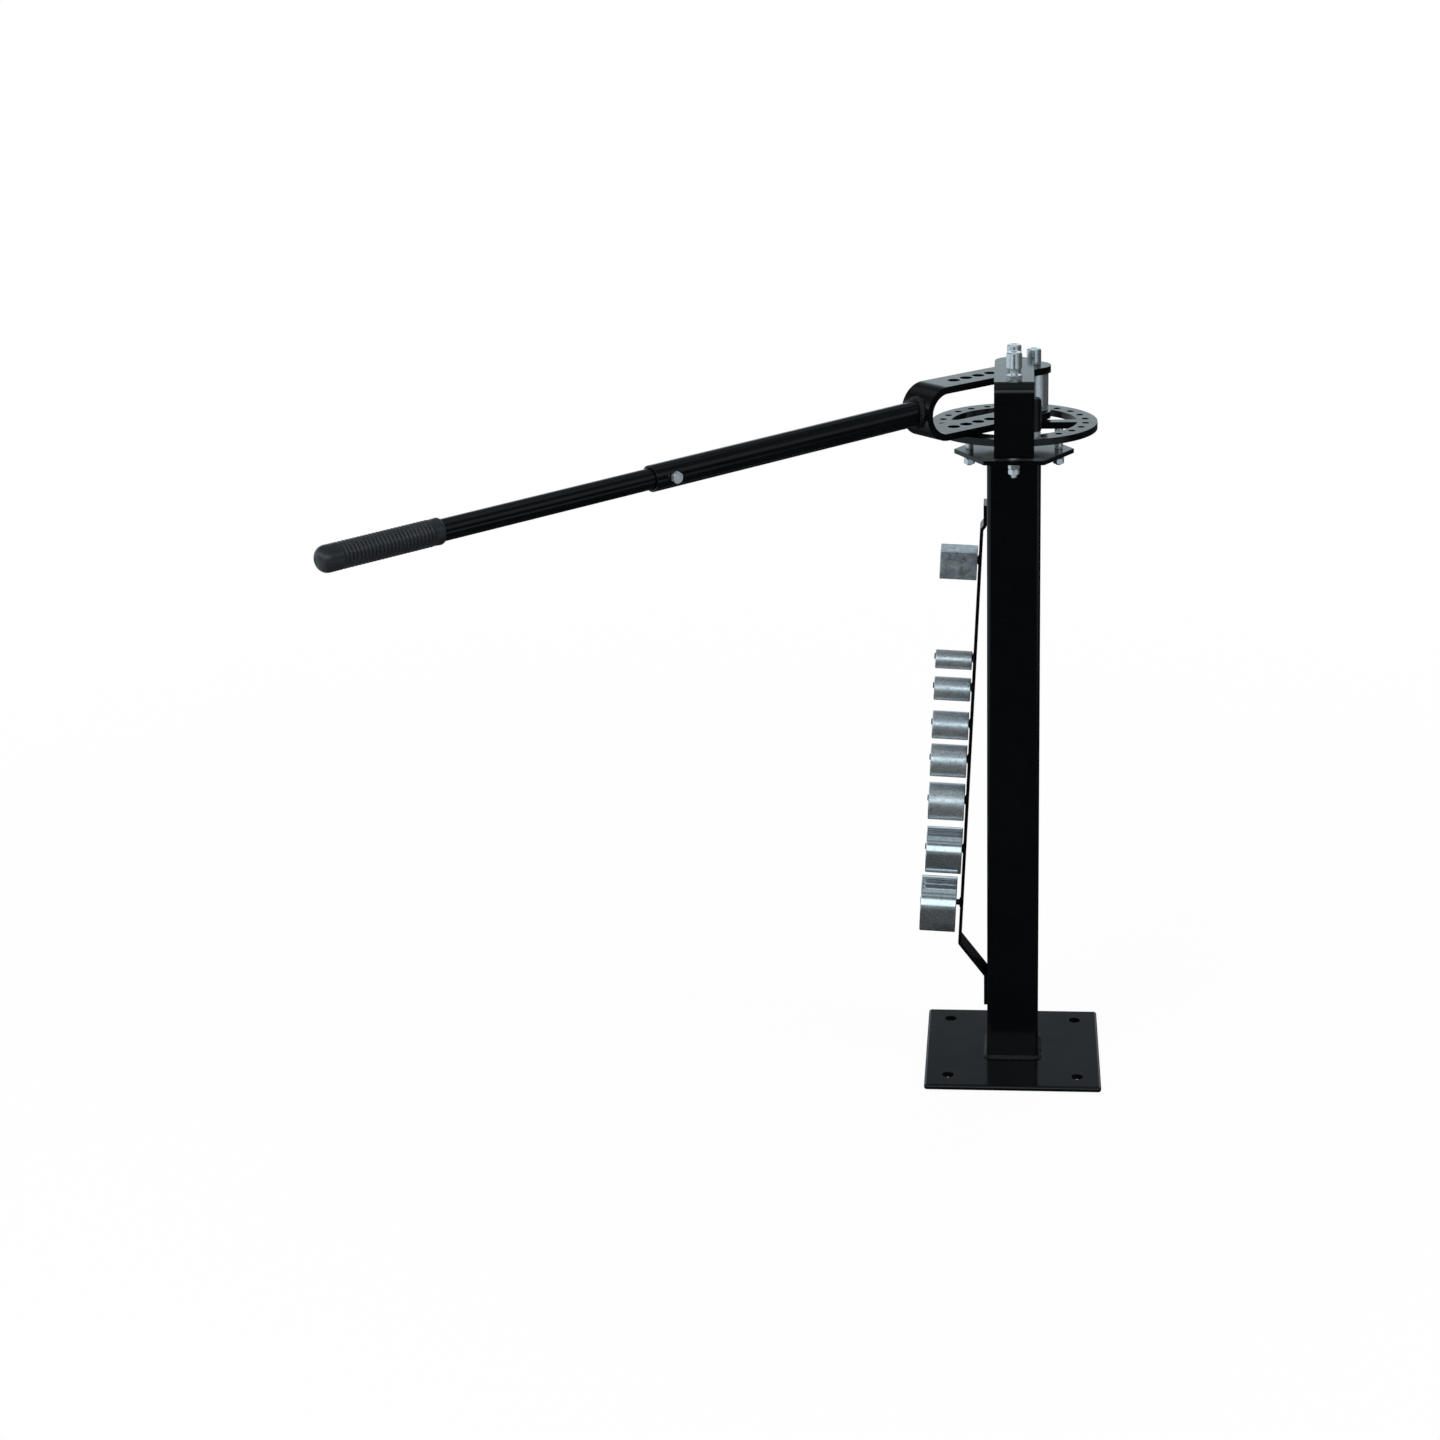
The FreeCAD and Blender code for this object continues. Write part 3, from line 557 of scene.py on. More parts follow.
discLook = {"hub": 0.027, "ringInner": 0.082, "spoke": 0.015, "hole": 0.00475, "holeReach": 0.093,
            "holeCount": 24, "firstHole": 7.5, "stopTurn": -75, "stopHole": 0.00506,
            "pinBore": 0.008075, "edge": 0.0006, "windowEdge": 0.001, "spokeReach": 0.1,
            "cut": (0.85, 0.95)}


def makeDisc():
    low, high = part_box("hole_disc")
    bottom, top = low[2], high[2]
    disc = turnedPiece("disc_plate", [(high[0], bottom), (high[0], top)], sides=160)
    windows = turnedPiece("windows", tubeRings(
        discLook["hub"], discLook["ringInner"], bottom - overcut, top + overcut,
        discLook["windowEdge"]), sides=128, hollow=True)
    reach, half = discLook["spokeReach"], discLook["spoke"] / 2
    cutLow, cutHigh = discLook["cut"]
    carve(windows, boxBlank("spokes", (-reach, -half, cutLow), (reach, half, cutHigh)),
          boxBlank("spokes", (-half, -reach, cutLow), (half, reach, cutHigh)))
    holes = [rod(discLook["pinBore"], cutLow, cutHigh)]
    turns = [discLook["firstHole"] + 360 / discLook["holeCount"] * number
             for number in range(discLook["holeCount"])]
    for turn, radius in [(turn, discLook["hole"]) for turn in turns] + [
            (discLook["stopTurn"], discLook["stopHole"])]:
        angle = math.radians(turn)
        holes.append(rod(radius, cutLow, cutHigh, discLook["holeReach"] * math.cos(angle),
                         discLook["holeReach"] * math.sin(angle), sides=32))
    carve(disc, windows, joinPieces("holes", holes))
    softenEdges(disc, discLook["edge"])
    finishPiece(disc, "hole_disc")


frameLook = {"width": 0.05, "thick": 0.009, "bendMiddle": 0.0095, "clampReach": 0.119,
             "clampBore": 0.00506, "edge": 0.0011, "bottomCut": 0.86, "betweenArms": (0.91, 0.95),
             "topCut": 1.01}


def makeFixedFrame():
    low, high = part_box("fixed_frame")
    half = frameLook["thick"] / 2
    front, back = low[1] + half, high[1]
    bar = bentBar("frame_bar", frameLook["width"], frameLook["thick"],
                  [(back, low[2] + half), (front, low[2] + half), (front, high[2] - half),
                   (back, high[2] - half)], frameLook["bendMiddle"])
    cutLow, cutHigh = frameLook["bottomCut"], frameLook["topCut"]
    gapLow, gapHigh = frameLook["betweenArms"]
    roundEnd(bar, 0, 1, frameLook["width"] / 2, cutLow, cutHigh)
    carve(bar, rod(discLook["pinBore"], cutLow, cutHigh),
          rod(frameLook["clampBore"], gapHigh, cutHigh, -frameLook["clampReach"]),
          rod(standLook["studHole"], cutLow, gapLow, -standLook["studReach"]))
    bar.matrix_world = Matrix.Rotation(math.pi / 2, 4, "Z")
    softenEdges(bar, frameLook["edge"], segments=3)
    finishPiece(bar, "fixed_frame")


fastenerSizes = {"stud": 0.004, "studTop": 0.902, "thread": 0.00055, "pitch": 0.00125,
                 "tipShare": 0.8, "tipRise": 0.0006, "runOut": 0.0003, "spacer": 0.0055,
                 "spacerEdge": 0.0004, "nutReach": 0.0075, "nutHeight": 0.0068, "nutTurns": (30, 44),
                 "plateFoot": 0.861, "plateTop": 0.867, "frontTip": 0.8425, "sideTip": 0.8455}


def makeDiscFasteners():
    reach = standLook["studReach"]
    foot, radius = fastenerSizes["plateFoot"], fastenerSizes["stud"]
    studs, spacers, nuts = [], [], []
    for turn in range(0, 360, 90):
        front = turn == 270
        across, along = (round(reach * trig(math.radians(turn)), 6) for trig in (math.cos, math.sin))
        bottom = fastenerSizes["frontTip" if front else "sideTip"]
        tip = [(radius * fastenerSizes["tipShare"], bottom)]
        thread = threadRings(radius, fastenerSizes["thread"], fastenerSizes["pitch"],
                             bottom + fastenerSizes["tipRise"], foot)
        shank = [(radius, foot + fastenerSizes["runOut"]), (radius, fastenerSizes["studTop"])]
        studs.append(turnedPiece("stud", tip + thread + shank, sides=32))
        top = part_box("fixed_frame" if front else "hole_disc")[0][2]
        spacers.append(turnedPiece("spacer", tubeRings(
            radius, fastenerSizes["spacer"], fastenerSizes["plateTop"], top,
            fastenerSizes["spacerEdge"]), sides=40, hollow=True))
        pieces = [studs[-1], spacers[-1]]
        for order, nutTurn in enumerate(fastenerSizes["nutTurns"]):
            high = foot - fastenerSizes["nutHeight"] * order
            nuts.append(hexPiece("nut", fastenerSizes["nutReach"], high - fastenerSizes["nutHeight"],
                                 high, radius, math.radians(nutTurn)))
            pieces.append(nuts[-1])
        for piece in pieces:
            piece.location = (across, along, 0)
    for node, members in (("disc_studs", studs), ("disc_spacers", spacers), ("disc_nuts", nuts)):
        joined = joinPieces(node + "_zinc", members)
        softenEdges(joined, 0)
        finishPiece(joined, node)


clampLook = {"screw": 0.005, "thread": 0.0006, "pitch": 0.0015, "tipShare": 0.78,
             "tipRise": 0.0008, "shoulder": 0.9985, "head": 0.0099, "headFoot": 0.0008,
             "headLift": 0.00005, "headBevel": 0.0012, "nutReach": 0.0101, "nutTurn": 30,
             "socket": 0.0046, "socketDepth": 0.006, "softEdge": 0.0003}


def makeClampScrew():
    low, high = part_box("clamp_screw")
    radius, head = clampLook["screw"], clampLook["head"]
    shoulder, top = clampLook["shoulder"], high[2]
    foot, bevel = clampLook["headFoot"], clampLook["headBevel"]
    rings = [(radius * clampLook["tipShare"], low[2])] + threadRings(
        radius, clampLook["thread"], clampLook["pitch"], low[2] + clampLook["tipRise"], shoulder)
    screw = turnedPiece("clamp_screw_turned", rings + [
        (head - foot, shoulder + clampLook["headLift"]), (head, shoulder + foot),
        (head, top - bevel), (head - bevel, top)])
    socket = turnedPiece("socket", [(clampLook["socket"], top - clampLook["socketDepth"]),
                                    (clampLook["socket"], top + overcut)], sides=6)
    carve(screw, socket)
    screw.location = (0, -frameLook["clampReach"], 0)
    softenEdges(screw, clampLook["softEdge"], sharp=30)
    finishPiece(screw, "clamp_screw")
    low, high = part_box("clamp_lock_nut")
    nut = hexPiece("lock_nut", clampLook["nutReach"], low[2], high[2], clampLook["screw"],
                   math.radians(clampLook["nutTurn"]))
    nut.location = (0, -frameLook["clampReach"], 0)
    finishPiece(nut, "clamp_lock_nut")


stopLook = {"nutReach": 0.0098, "nutTurn": 38, "sleeve": 0.0103, "footEdge": 0.0005,
            "bevel": 0.0015, "softEdge": 0.0005}


def makeStop():
    middle = boxMiddle("stop_sleeve")
    where = (middle.x, middle.y, 0)
    radius, bore = stopLook["sleeve"], clampLook["screw"]
    low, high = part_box("stop_stud")
    stud = turnedPiece("stop_stud_zinc", threadRings(bore, clampLook["thread"], clampLook["pitch"],
                                                     low[2], high[2]), sides=40)
    softenEdges(stud, 0)
    low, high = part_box("stop_nut")
    nut = hexPiece("stop_nut_zinc", stopLook["nutReach"], low[2], high[2], bore,
                   math.radians(stopLook["nutTurn"]))
    low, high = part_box("stop_sleeve")
    foot, top, bevel, edge = low[2], high[2], stopLook["bevel"], stopLook["footEdge"]
    sleeve = turnedPiece("stop_sleeve_black", [
        (radius - edge, foot), (radius, foot + edge), (radius, top - bevel), (radius - bevel, top)])
    carve(sleeve, rod(bore, foot - overcut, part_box("stop_stud")[1][2]))
    softenEdges(sleeve, stopLook["softEdge"], segments=3, sharp=30)
    for piece, node in ((stud, "stop_stud"), (nut, "stop_nut"), (sleeve, "stop_sleeve")):
        piece.location = where
        finishPiece(piece, node)


pinLook = {"shaft": 0.008, "tip": 0.0015, "headEdge": 0.0012, "headFoot": 0.0004,
           "headHeight": 0.021, "dish": 0.0045, "dishFloor": 0.0036, "dishDepth": 0.0004,
           "softEdge": 0.00035}


# A pin with a shallow lathe mark in its head
def makeHeadedPin(node, piece):
    low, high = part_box(node)
    middle = boxMiddle(node)
    head = (high[0] - low[0]) / 2
    bottom, top, seat = low[2], high[2], high[2] - pinLook["headHeight"]
    shaft, edge, foot = pinLook["shaft"], pinLook["headEdge"], pinLook["headFoot"]
    pin = turnedPiece(piece, [
        (shaft - pinLook["tip"], bottom), (shaft, bottom + pinLook["tip"]),
        (shaft, seat), (head - foot, seat), (head, seat + foot), (head, top - edge),
        (head - edge, top), (pinLook["dish"], top), (pinLook["dishFloor"], top - pinLook["dishDepth"])])
    softenEdges(pin, pinLook["softEdge"], sharp=30)
    pin.location = (middle.x, middle.y, 0)
    finishPiece(pin, node)


rollerLook = {"bevel": 0.001, "softEdge": 0.0003}


def makeRoller():
    low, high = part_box("roller")
    middle = boxMiddle("roller")
    roller = turnedPiece("roller_turned", tubeRings(
        discLook["pinBore"], (high[0] - low[0]) / 2, low[2], high[2], rollerLook["bevel"]),
        sides=96, hollow=True)
    softenEdges(roller, rollerLook["softEdge"], sharp=30)
    roller.location = (middle.x, middle.y, 0)
    finishPiece(roller, "roller")


makeDisc()
makeFixedFrame()
makeDiscFasteners()
makeClampScrew()
makeStop()
makeHeadedPin("centre_pin", "centre_pin_turned")
makeHeadedPin("roller_pin", "roller_pin_turned")
makeRoller()
print("head made")


# Lever: its turn and droop come from the way the extension slides

def jointOf(name):
    return next(joint for joint in frame["record"]["behaviour"]["joints"] if joint["name"] == name)


handleWay = Vector(jointOf("extension_slide")["axis"])
leverTurn = math.atan2(handleWay.y, handleWay.x)
handleDroop = math.asin(-handleWay.z)
leverFrame = Matrix.Rotation(leverTurn, 4, "Z")
leverLook = {"width": 0.05, "thick": 0.009, "tail": 0.0562, "reach": 0.1715, "holePitch": 0.021,
             "holeCount": 6, "rollerReach": 0.0352, "edge": 0.0011, "bendSteps": 20,
             "cut": (0.88, 1)}
handleLook = {"level": 0.9462, "tube": 0.016, "tubeBore": 0.01278, "tubeStart": 0.158,
              "tubeEnd": 0.582, "tubeEdge": 0.0006, "saddleGap": 0.0002, "saddleReach": 0.05,
              "screwReach": 0.557, "screwBore": 0.00406, "screwCut": 0.02, "softEdge": 0.0003,
              "extension": 0.0127, "extensionBore": 0.0101, "extensionStart": 0.455,
              "extensionEnd": 1.012, "extensionEdge": 0.0005}
handleFrame = (Matrix.Translation((0, 0, handleLook["level"])) @ leverFrame
               @ Matrix.Rotation(math.pi / 2 + handleDroop, 4, "Y"))


def makeYoke():
    low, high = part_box("yoke")
    half = leverLook["thick"] / 2
    bottom, top = low[2] + half, high[2] - half
    bar = bentBar("yoke_bar", leverLook["width"], leverLook["thick"],
                  [(-leverLook["tail"], bottom), (leverLook["reach"] - half, bottom),
                   (leverLook["reach"] - half, top), (-leverLook["tail"], top)],
                  (top - bottom) / 2, leverLook["bendSteps"])
    endRadius = leverLook["width"] / 2
    roundEnd(bar, endRadius - leverLook["tail"], -1, endRadius, *leverLook["cut"])
    places = [leverLook["holePitch"] * number for number in range(leverLook["holeCount"])]
    carve(bar, *[rod(discLook["pinBore"], *leverLook["cut"], place)
                 for place in places + [-leverLook["rollerReach"]]])
    bar.matrix_world = leverFrame
    softenEdges(bar, leverLook["edge"], segments=3)
    finishPiece(bar, "yoke")


def makeHandleTube():
    low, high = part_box("yoke")
    tube = turnedPiece("handle_tube_steel", tubeRings(
        handleLook["tubeBore"], handleLook["tube"], handleLook["tubeStart"] - overcut,
        handleLook["tubeEnd"], handleLook["tubeEdge"]), sides=96, hollow=True)
    bend = (high[2] - low[2]) / 2
    seat, reach = bend + handleLook["saddleGap"], handleLook["saddleReach"]
    saddle = turnedPiece("saddle", [(seat, -reach), (seat, reach)], sides=128)
    toHandle = handleFrame.inverted() @ leverFrame @ Matrix.Translation(
        (leverLook["reach"] - bend, 0, (high[2] + low[2]) / 2)) @ Matrix.Rotation(math.pi / 2, 4, "X")
    saddle.matrix_world = toHandle
    hole = turnedPiece("hole", [(handleLook["screwBore"], 0),
                                (handleLook["screwBore"], handleLook["screwCut"])], sides=32)
    hole.matrix_world = Matrix.Translation((0, 0, handleLook["screwReach"])) @ Matrix.Rotation(
        -math.pi / 2, 4, "X")
    carve(tube, saddle, hole)
    softenEdges(tube, handleLook["softEdge"], sharp=50)
    tube.matrix_world = handleFrame
    finishPiece(tube, "handle_tube")


def makeExtension():
    tube = turnedPiece("handle_extension_steel", tubeRings(
        handleLook["extensionBore"], handleLook["extension"], handleLook["extensionStart"],
        handleLook["extensionEnd"], handleLook["extensionEdge"]), sides=80, hollow=True)
    softenEdges(tube, 0)
    tube.matrix_world = handleFrame
    finishPiece(tube, "handle_extension")


# Ribs are drawn by their place within the pitch and their share of the depth, and the collar and
# the ring in the end by how far they stand in or out and how far along
gripSizes = {"start": 0.8685, "end": 1.023, "radius": 0.0155, "ribStart": 0.8805, "pitch": 0.0047,
             "ribs": 25, "depth": 0.0018, "dome": 0.0125, "domeLead": 0.002, "domeStep": 12,
             "domeSteps": 6, "endFloor": 0.4, "endDip": 0.0001, "smoothUpTo": 55,
             "collar": ((0.0022, 0), (0.0006, 0.0008), (0, 0.0026)),
             "ribShape": ((0, 0.3), (0.1, 0.8), (0.22, 1), (0.34, 0.8), (0.44, 0.3), (0.58, 0.06),
                          (0.72, 0), (0.86, 0.06)),
             "endRing": ((0.0012, 0), (0.0002, 0.0009), (-0.0008, 0.0003))}


# Rubber grip: plain collar, rounded ribs with narrow grooves, and a domed end with a ring
def makeGrip():
    radius, start, end = (gripSizes[size] for size in ("radius", "start", "end"))
    rings = [(handleLook["extension"], start)]
    rings += [(radius - drop, start + rise) for drop, rise in gripSizes["collar"]]
    for rib in range(gripSizes["ribs"]):
        foot = gripSizes["ribStart"] + gripSizes["pitch"] * rib
        rings += [(radius - gripSizes["depth"] * drop, foot + gripSizes["pitch"] * share)
                  for share, drop in gripSizes["ribShape"]]
    dome = gripSizes["dome"]
    shoulder = end - dome
    inner = radius - dome
    rings += [(radius, shoulder - gripSizes["domeLead"]), (radius, shoulder)]
    for step in range(1, gripSizes["domeSteps"] + 1):
        angle = math.radians(gripSizes["domeStep"] * step)
        rings.append((inner + dome * math.cos(angle), shoulder + dome * math.sin(angle)))
    rings += [(inner + outward, end - dip) for outward, dip in gripSizes["endRing"]]
    rings.append((inner * gripSizes["endFloor"], end - gripSizes["endDip"]))
    grip = turnedPiece("grip_rubber", rings, sides=72)
    carve(grip, rod(handleLook["extension"], start - overcut, handleLook["extensionEnd"], sides=80))
    only(grip)
    bpy.ops.object.shade_smooth_by_angle(angle=math.radians(gripSizes["smoothUpTo"]))
    grip.matrix_world = handleFrame
    finishPiece(grip, "handle_grip")


screwLook = {"shank": 0.004, "thread": 0.0005, "pitch": 0.00125, "tip": 0.01285, "seat": 0.0168,
             "shankLap": 0.001, "headReach": 0.0075, "headHeight": 0.0053, "headTurn": 20}


def makeHandleScrew():
    seat = screwLook["seat"]
    shank = turnedPiece("shank", threadRings(
        screwLook["shank"], screwLook["thread"], screwLook["pitch"], screwLook["tip"],
        seat + screwLook["shankLap"]), sides=32)
    head = hexPiece("head", screwLook["headReach"], seat, seat + screwLook["headHeight"],
                    turn=math.radians(screwLook["headTurn"]))
    screw = joinPieces("handle_screw_zinc", [head, shank])
    screw.matrix_world = (handleFrame @ Matrix.Translation((0, 0, handleLook["screwReach"]))
                          @ Matrix.Rotation(-math.pi / 2, 4, "X"))
    finishPiece(screw, "handle_screw")


makeYoke()
makeHandleTube()
makeExtension()
makeGrip()
makeHandleScrew()
print("lever made")


# Rack: bent bar, its pins and the spare dies

rackLook = {"width": 0.038, "thick": 0.0045, "top": 0.795, "upperBend": 0.768, "head": 0.762,
            "headOut": 0.044, "footLevel": 0.1725, "lowerBend": 0.125, "bottom": 0.081,
            "bend": 0.005, "bendSteps": 5, "edge": 0.0005, "postFace": 0.035}
pinSizes = {"radius": 0.004, "length": 0.055, "dieLength": 0.052, "blockLength": 0.0494,
            "weld": 0.007, "weldHeight": 0.0012, "weldSlope": (0.92, 0.5), "neck": (1.15, 1.3),
            "tip": 0.0006, "softEdge": 0.0002, "hang": 0.004}
dieLook = {"length": 0.049, "edge": 0.001, "gap": 0.0013, "largeGap": 0.0052,
           "smooth": ("die_64mm", "die_76mm"), "softEdge": 0.0003, "blockEdge": 0.001}
dieNodes = [node for node in cadNodes if node.startswith("die_")]
# Out along the rack's pins, and down along its bar
rackWay = Vector(jointOf("square_block_slide")["axis"])
rackDown = Vector((rackWay.x, 0, rackWay.z)).cross(Vector((0, 1, 0)))
if rackDown.z > 0:
    rackDown.negate()


def makeRackBar():
    middle = -(rackLook["postFace"] + rackLook["thick"] / 2)
    head = rackLook["thick"] / 2 - rackLook["headOut"]
    slope = rackDown.x / rackDown.z
    foot = head - (rackLook["head"] - rackLook["footLevel"]) * slope
    bar = bentBar("rack_bar_steel", rackLook["width"], rackLook["thick"], [
        (middle, rackLook["top"]), (middle, rackLook["upperBend"]), (head, rackLook["head"]),
        (foot, rackLook["footLevel"]), (middle, rackLook["lowerBend"]),
        (middle, rackLook["bottom"])], rackLook["bend"], rackLook["bendSteps"])
    softenEdges(bar, rackLook["edge"])
    finishPiece(bar, "rack_bar")


# How far a die's inner face stands off the bar
def gapOf(node):
    return dieLook["largeGap"] if node == "die_76mm" else dieLook["gap"]


def pinLength(node):
    if node == "square_block":
        return pinSizes["blockLength"]
    return pinSizes["length" if node == "die_76mm" else "dieLength"]


# A pin with a small weld round its foot, whose slope and neck are shares of its radius and height
def makeRackPins():
    radius, weld, height, tip = (pinSizes[size] for size in ("radius", "weld", "weldHeight", "tip"))
    slopeRadius, slopeRise = pinSizes["weldSlope"]
    neckRadius, neckRise = pinSizes["neck"]
    pins = []
    for node in dieNodes + ["square_block"]:
        length = pinLength(node)
        pin = turnedPiece("rack_pin", [
            (weld, 0), (weld * slopeRadius, height * slopeRise), (radius * neckRadius, height),
            (radius, height * neckRise), (radius, length - tip), (radius - tip, length)], sides=40)
        softenEdges(pin, pinSizes["softEdge"], sharp=30)
        out = gapOf(node) + dieLook["length"] / 2
        layAlong(pin, boxMiddle(node) - rackWay * out - rackDown * pinSizes["hang"], rackWay)
        pins.append(pin)
    finishPiece(joinPieces("rack_pins_steel", pins), "rack_pins")


def makeDies():
    half = dieLook["length"] / 2
    for node in dieNodes:
        low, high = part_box(node)
        die = turnedPiece(node + "_turned", tubeRings(
            discLook["pinBore"], (high[1] - low[1]) / 2, -half, half, dieLook["edge"]),
            sides=128, hollow=True)
        softenEdges(die, dieLook["softEdge"], sharp=30)
        layAlong(die, boxMiddle(node), rackWay)
        finishPiece(die, node, smoothZinc if node in dieLook["smooth"] else None)
    low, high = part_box("square_block")
    side = (high[1] - low[1]) / 2
    block = boxBlank("square_block_cut", (-side, -side, -half), (side, side, half))
    carve(block, rod(discLook["pinBore"], -half * 2, half * 2))
    softenEdges(block, dieLook["blockEdge"], segments=3)
    lean = math.atan2(rackWay.x, rackWay.z)
    block.matrix_world = Matrix.Translation(boxMiddle("square_block")) @ Matrix.Rotation(lean, 4, "Y")
    finishPiece(block, "square_block")


makeRackBar()
makeRackPins()
makeDies()
print("rack made")


# Stage: pale floor, soft lamps and studio surroundings that gloss and metal can mirror

stageLook = {"floorSize": 60, "floorColour": (0.9, 0.9, 0.9), "floorRoughness": 0.9,
             "cameraGlow": (0.93, 1), "glowReach": (0.6, 3), "worldLevel": 0.6,
             "mirrorTint": (0.85, 1, 1.07), "mirrorLevel": 1.35, "horizonBlend": 0.12,
             "rightShade": 0.3, "rightBlend": (0.4, 0.8), "lampTarget": (-0.2, -0.2, 0.6)}
# What gloss sees of the floor: its levels, and where they start and end in metres
floorMirror = {"levels": (0.035, 0.62), "left": (-0.7, -2), "rightLevel": 0.5,
               "right": (0.9, 1.8), "rightEnd": (3.2, 4.5), "ahead": (-1.3, -0.4)}
lamps = {
    "keyLamp": {"place": (-2.2, -2.4, 3.2), "size": 2.2, "power": 60},
    "rightLamp": {"place": (2.6, -0.8, 2.2), "size": 1.6, "power": 26},
    "backLamp": {"place": (0.4, 3, 2.6), "size": 2.4, "power": 26},
    "glintLamp": {"place": (-0.6, -3.2, 2.4), "size": 0.15, "power": 1.8, "mirrored": True},
}
# What gloss sees at each height (sine of its elevation), behind the object and on the near side
farHeights = ((0, 0.64), (0.2, 0.72), (0.28, 0.54), (0.44, 0.17), (0.62, 0.05), (0.72, 0.27),
              (0.8, 0.05), (0.88, 0.3), (0.95, 0.07), (1, 0.26))
nearHeights = ((0, 0.1), (0.19, 0.11), (0.29, 1.15), (0.58, 1.15), (0.67, 0.1), (0.76, 0.06),
               (0.82, 0.42), (0.88, 0.06), (0.95, 0.36), (1, 0.26))


def mathNode(nodes, links, operation, first, second):
    node = nodes.new("ShaderNodeMath")
    node.operation = operation
    for socket, source in zip(node.inputs, (first, second)):
        if isinstance(source, (int, float)):
            socket.default_value = source
        else:
            links.new(source, socket)
    return node.outputs["Value"]


def heightRamp(nodes, links, source, stops):
    ramp = nodes.new("ShaderNodeValToRGB")
    ramp.color_ramp.interpolation = "EASE"
    points = ramp.color_ramp.elements
    while len(points) < len(stops):
        points.new(0.5)
    for point, (height, level) in zip(points, stops):
        point.position = height
        point.color = (level, level, level, 1)
    links.new(source, ramp.inputs["Fac"])
    return ramp.outputs["Color"]


def makeFloor():
    bpy.ops.mesh.primitive_plane_add(size=stageLook["floorSize"], location=(0, 0, 0))
    floor = bpy.context.object
    floor.name = "floor"
    material, nodes, links, shader = newMaterial("paleFloor")
    shader.inputs["Base Color"].default_value = (*stageLook["floorColour"], 1)
    shader.inputs["Roughness"].default_value = stageLook["floorRoughness"]
    split = nodes.new("ShaderNodeSeparateXYZ")
    coords = objectCoords(nodes)
    links.new(coords, split.inputs["Vector"])
    away = nodes.new("ShaderNodeVectorMath")
    away.operation = "LENGTH"
    links.new(coords, away.inputs[0])
    path = nodes.new("ShaderNodeLightPath")
    # White for the camera, with the object's shadow kept close to it
    glow = spread(nodes, links, away.outputs["Value"], *stageLook["cameraGlow"],
                  *stageLook["glowReach"])
    share = mathNode(nodes, links, "MULTIPLY", path.outputs["Is Camera Ray"], glow)
    white = nodes.new("ShaderNodeEmission")
    lit = nodes.new("ShaderNodeMixShader")
    links.new(share, lit.inputs["Fac"])
    links.new(shader.outputs["BSDF"], lit.inputs[1])
    links.new(white.outputs["Emission"], lit.inputs[2])
    # Dim for gloss near the middle and on the right, pale on the left and at the front right
    across, along = split.outputs["X"], split.outputs["Y"]
    level = spread(nodes, links, across, *floorMirror["levels"], *floorMirror["left"])
    beside = spread(nodes, links, across, 0, floorMirror["rightLevel"], *floorMirror["right"])
    ahead = spread(nodes, links, along, 1, 0, *floorMirror["ahead"])
    ending = spread(nodes, links, across, 1, 0, *floorMirror["rightEnd"])
    corner = mathNode(nodes, links, "MULTIPLY", beside, ahead)
    corner = mathNode(nodes, links, "MULTIPLY", corner, ending)
    level = mathNode(nodes, links, "ADD", level, corner)
    mirrored = nodes.new("ShaderNodeEmission")
    mirrored.inputs["Color"].default_value = (*stageLook["mirrorTint"], 1)
    links.new(level, mirrored.inputs["Strength"])
    final = nodes.new("ShaderNodeMixShader")
    links.new(path.outputs["Is Glossy Ray"], final.inputs["Fac"])
    links.new(lit.outputs["Shader"], final.inputs[1])
    links.new(mirrored.outputs["Emission"], final.inputs[2])
    links.new(final.outputs["Shader"], nodes["Material Output"].inputs["Surface"])
    floor.data.materials.append(material)


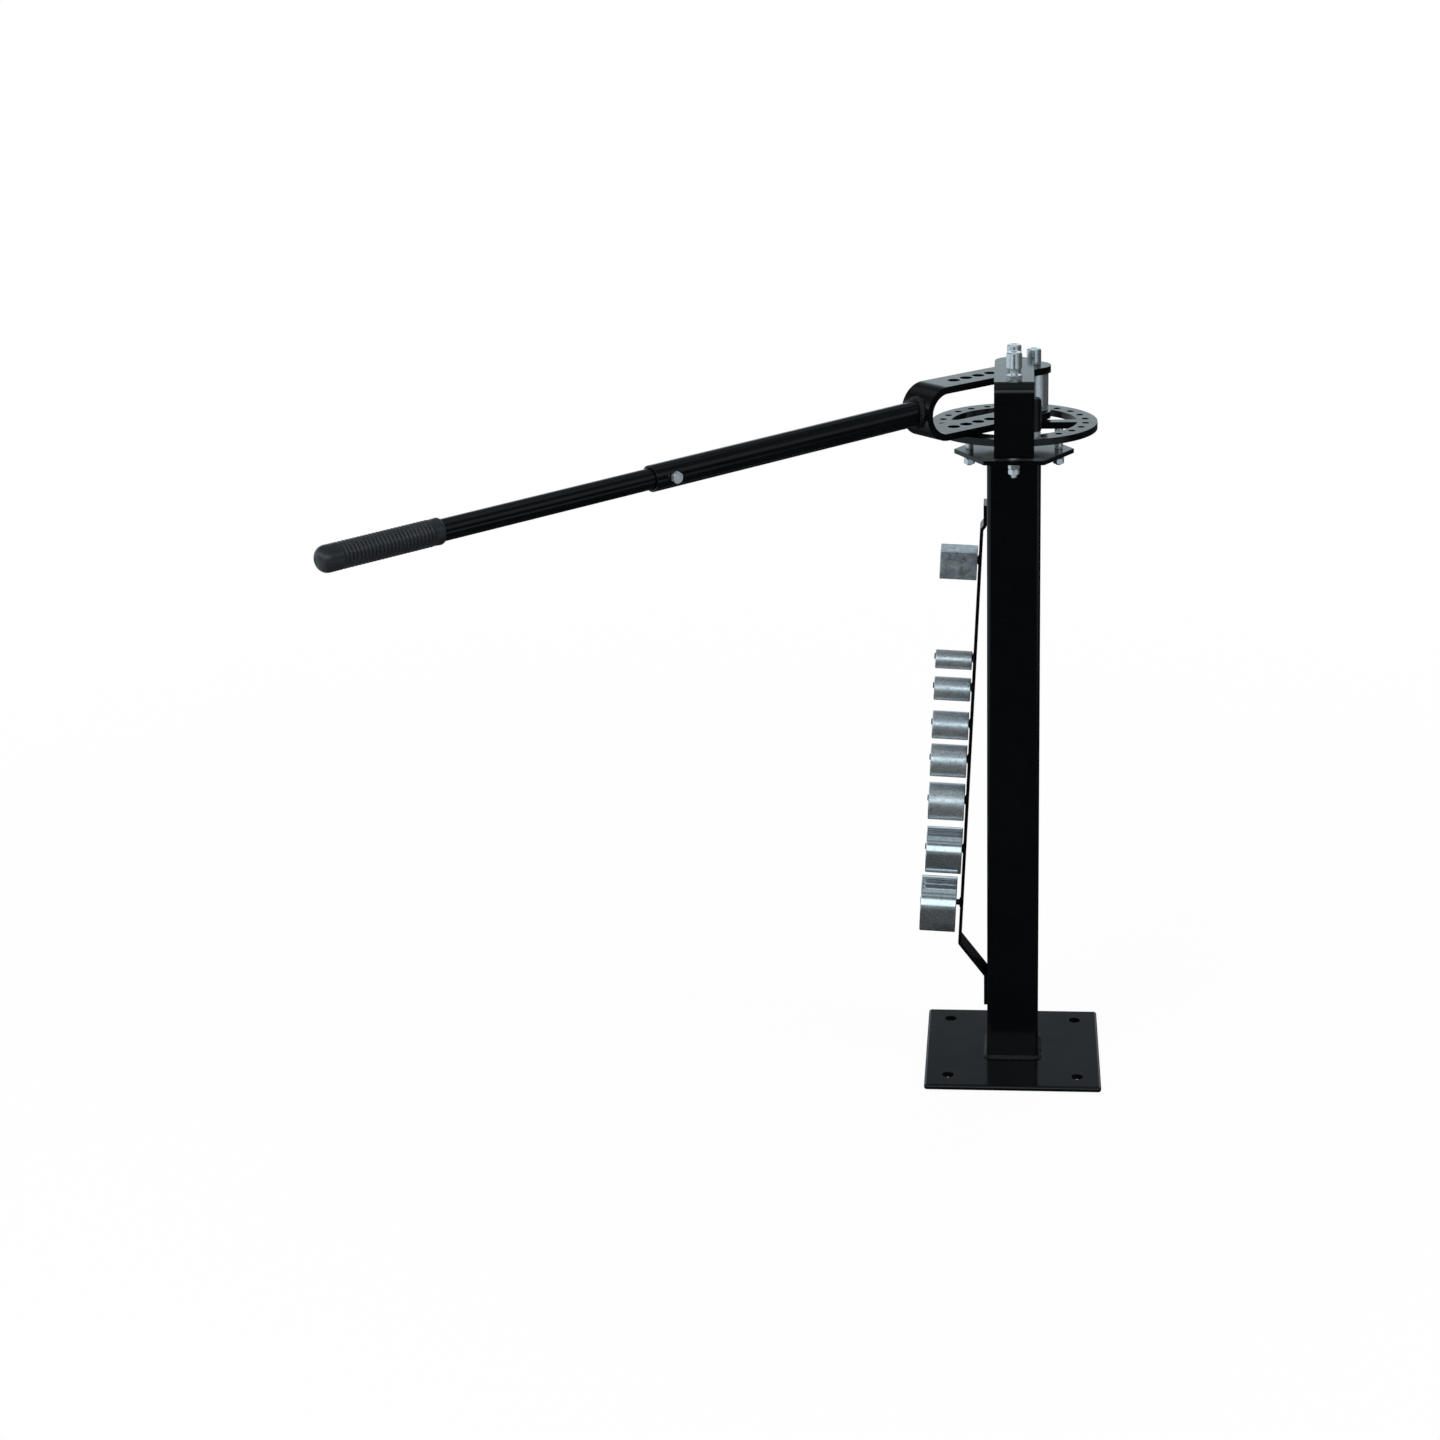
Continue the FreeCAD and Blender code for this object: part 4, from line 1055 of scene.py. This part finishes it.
def makeWorld():
    world = bpy.data.worlds.new("studio")
    bpy.context.scene.world = world
    world.use_nodes = True
    nodes, links = world.node_tree.nodes, world.node_tree.links
    background = nodes["Background"]
    path = nodes.new("ShaderNodeLightPath")
    coords = nodes.new("ShaderNodeTexCoord")
    split = nodes.new("ShaderNodeSeparateXYZ")
    links.new(coords.outputs["Generated"], split.inputs["Vector"])
    across, depth, height = split.outputs["X"], split.outputs["Y"], split.outputs["Z"]
    blend = stageLook["horizonBlend"]
    behind = spread(nodes, links, depth, 0, 1, -blend, blend)
    mirrored = mixColour(nodes, links, behind, heightRamp(nodes, links, height, nearHeights),
                         heightRamp(nodes, links, height, farHeights))
    # The studio's right side is darker, as the shaded side of the tubes shows
    right = spread(nodes, links, across, 0, 1, *stageLook["rightBlend"])
    shaded = mathNode(nodes, links, "MULTIPLY", right, 1 - stageLook["rightShade"])
    mirrored = mixColour(nodes, links, shaded, mirrored, (0.0, 0.0, 0.0))
    tint = nodes.new("ShaderNodeMix")
    tint.data_type = "RGBA"
    tint.blend_type = "MULTIPLY"
    tint.inputs["Factor"].default_value = 1
    tint.inputs["B"].default_value = (*stageLook["mirrorTint"], 1)
    links.new(mirrored, tint.inputs["A"])
    colour = mixColour(nodes, links, path.outputs["Is Glossy Ray"], (1.0, 1.0, 1.0),
                       tint.outputs["Result"])
    links.new(colour, background.inputs["Color"])
    seen = mathNode(nodes, links, "MAXIMUM", path.outputs["Is Camera Ray"],
                    path.outputs["Is Transmission Ray"])
    plain = spread(nodes, links, seen, stageLook["worldLevel"], 1, 0, 1)
    strength = nodes.new("ShaderNodeMix")
    links.new(path.outputs["Is Glossy Ray"], strength.inputs["Factor"])
    links.new(plain, strength.inputs["A"])
    strength.inputs["B"].default_value = stageLook["mirrorLevel"]
    links.new(strength.outputs["Result"], background.inputs["Strength"])


# A soft lamp lights the colours and stays out of the gloss, unless it is to be mirrored
def makeLamp(name, place, size, power, mirrored=False):
    lamp = bpy.data.lights.new(name, "AREA")
    lamp.size = size
    lamp.energy = power
    holder = bpy.data.objects.new(name, lamp)
    bpy.context.collection.objects.link(holder)
    holder.location = place
    toTarget = Vector(stageLook["lampTarget"]) - Vector(place)
    holder.rotation_euler = toTarget.to_track_quat("-Z", "Y").to_euler()
    holder.visible_glossy = mirrored


# The photograph's own viewing angle: place, heading, downward pitch and roll
cameraView = {"place": (-0.0010, -3.3654, 1.6706), "heading": -5.24, "pitch": 16.95, "roll": 1.39,
              "lens": 65.92, "sensor": 36, "shift": (-0.04275, -0.0736)}


def makeCamera():
    camera = bpy.data.cameras.new("camera")
    camera.lens = cameraView["lens"]
    camera.sensor_width = cameraView["sensor"]
    camera.shift_x, camera.shift_y = cameraView["shift"]
    holder = bpy.data.objects.new("camera", camera)
    bpy.context.collection.objects.link(holder)
    heading, pitch, roll = (math.radians(cameraView[turn]) for turn in ("heading", "pitch", "roll"))
    turned = (Matrix.Rotation(-heading, 4, "Z") @ Matrix.Rotation(math.pi / 2 - pitch, 4, "X")
              @ Matrix.Rotation(-roll, 4, "Z"))
    holder.matrix_world = Matrix.Translation(cameraView["place"]) @ turned
    bpy.context.scene.camera = holder


makeFloor()
makeWorld()
for lampName, lamp in lamps.items():
    makeLamp(lampName, **lamp)
makeCamera()
bpy.context.scene.view_settings.view_transform = "Standard"
print("stage set")
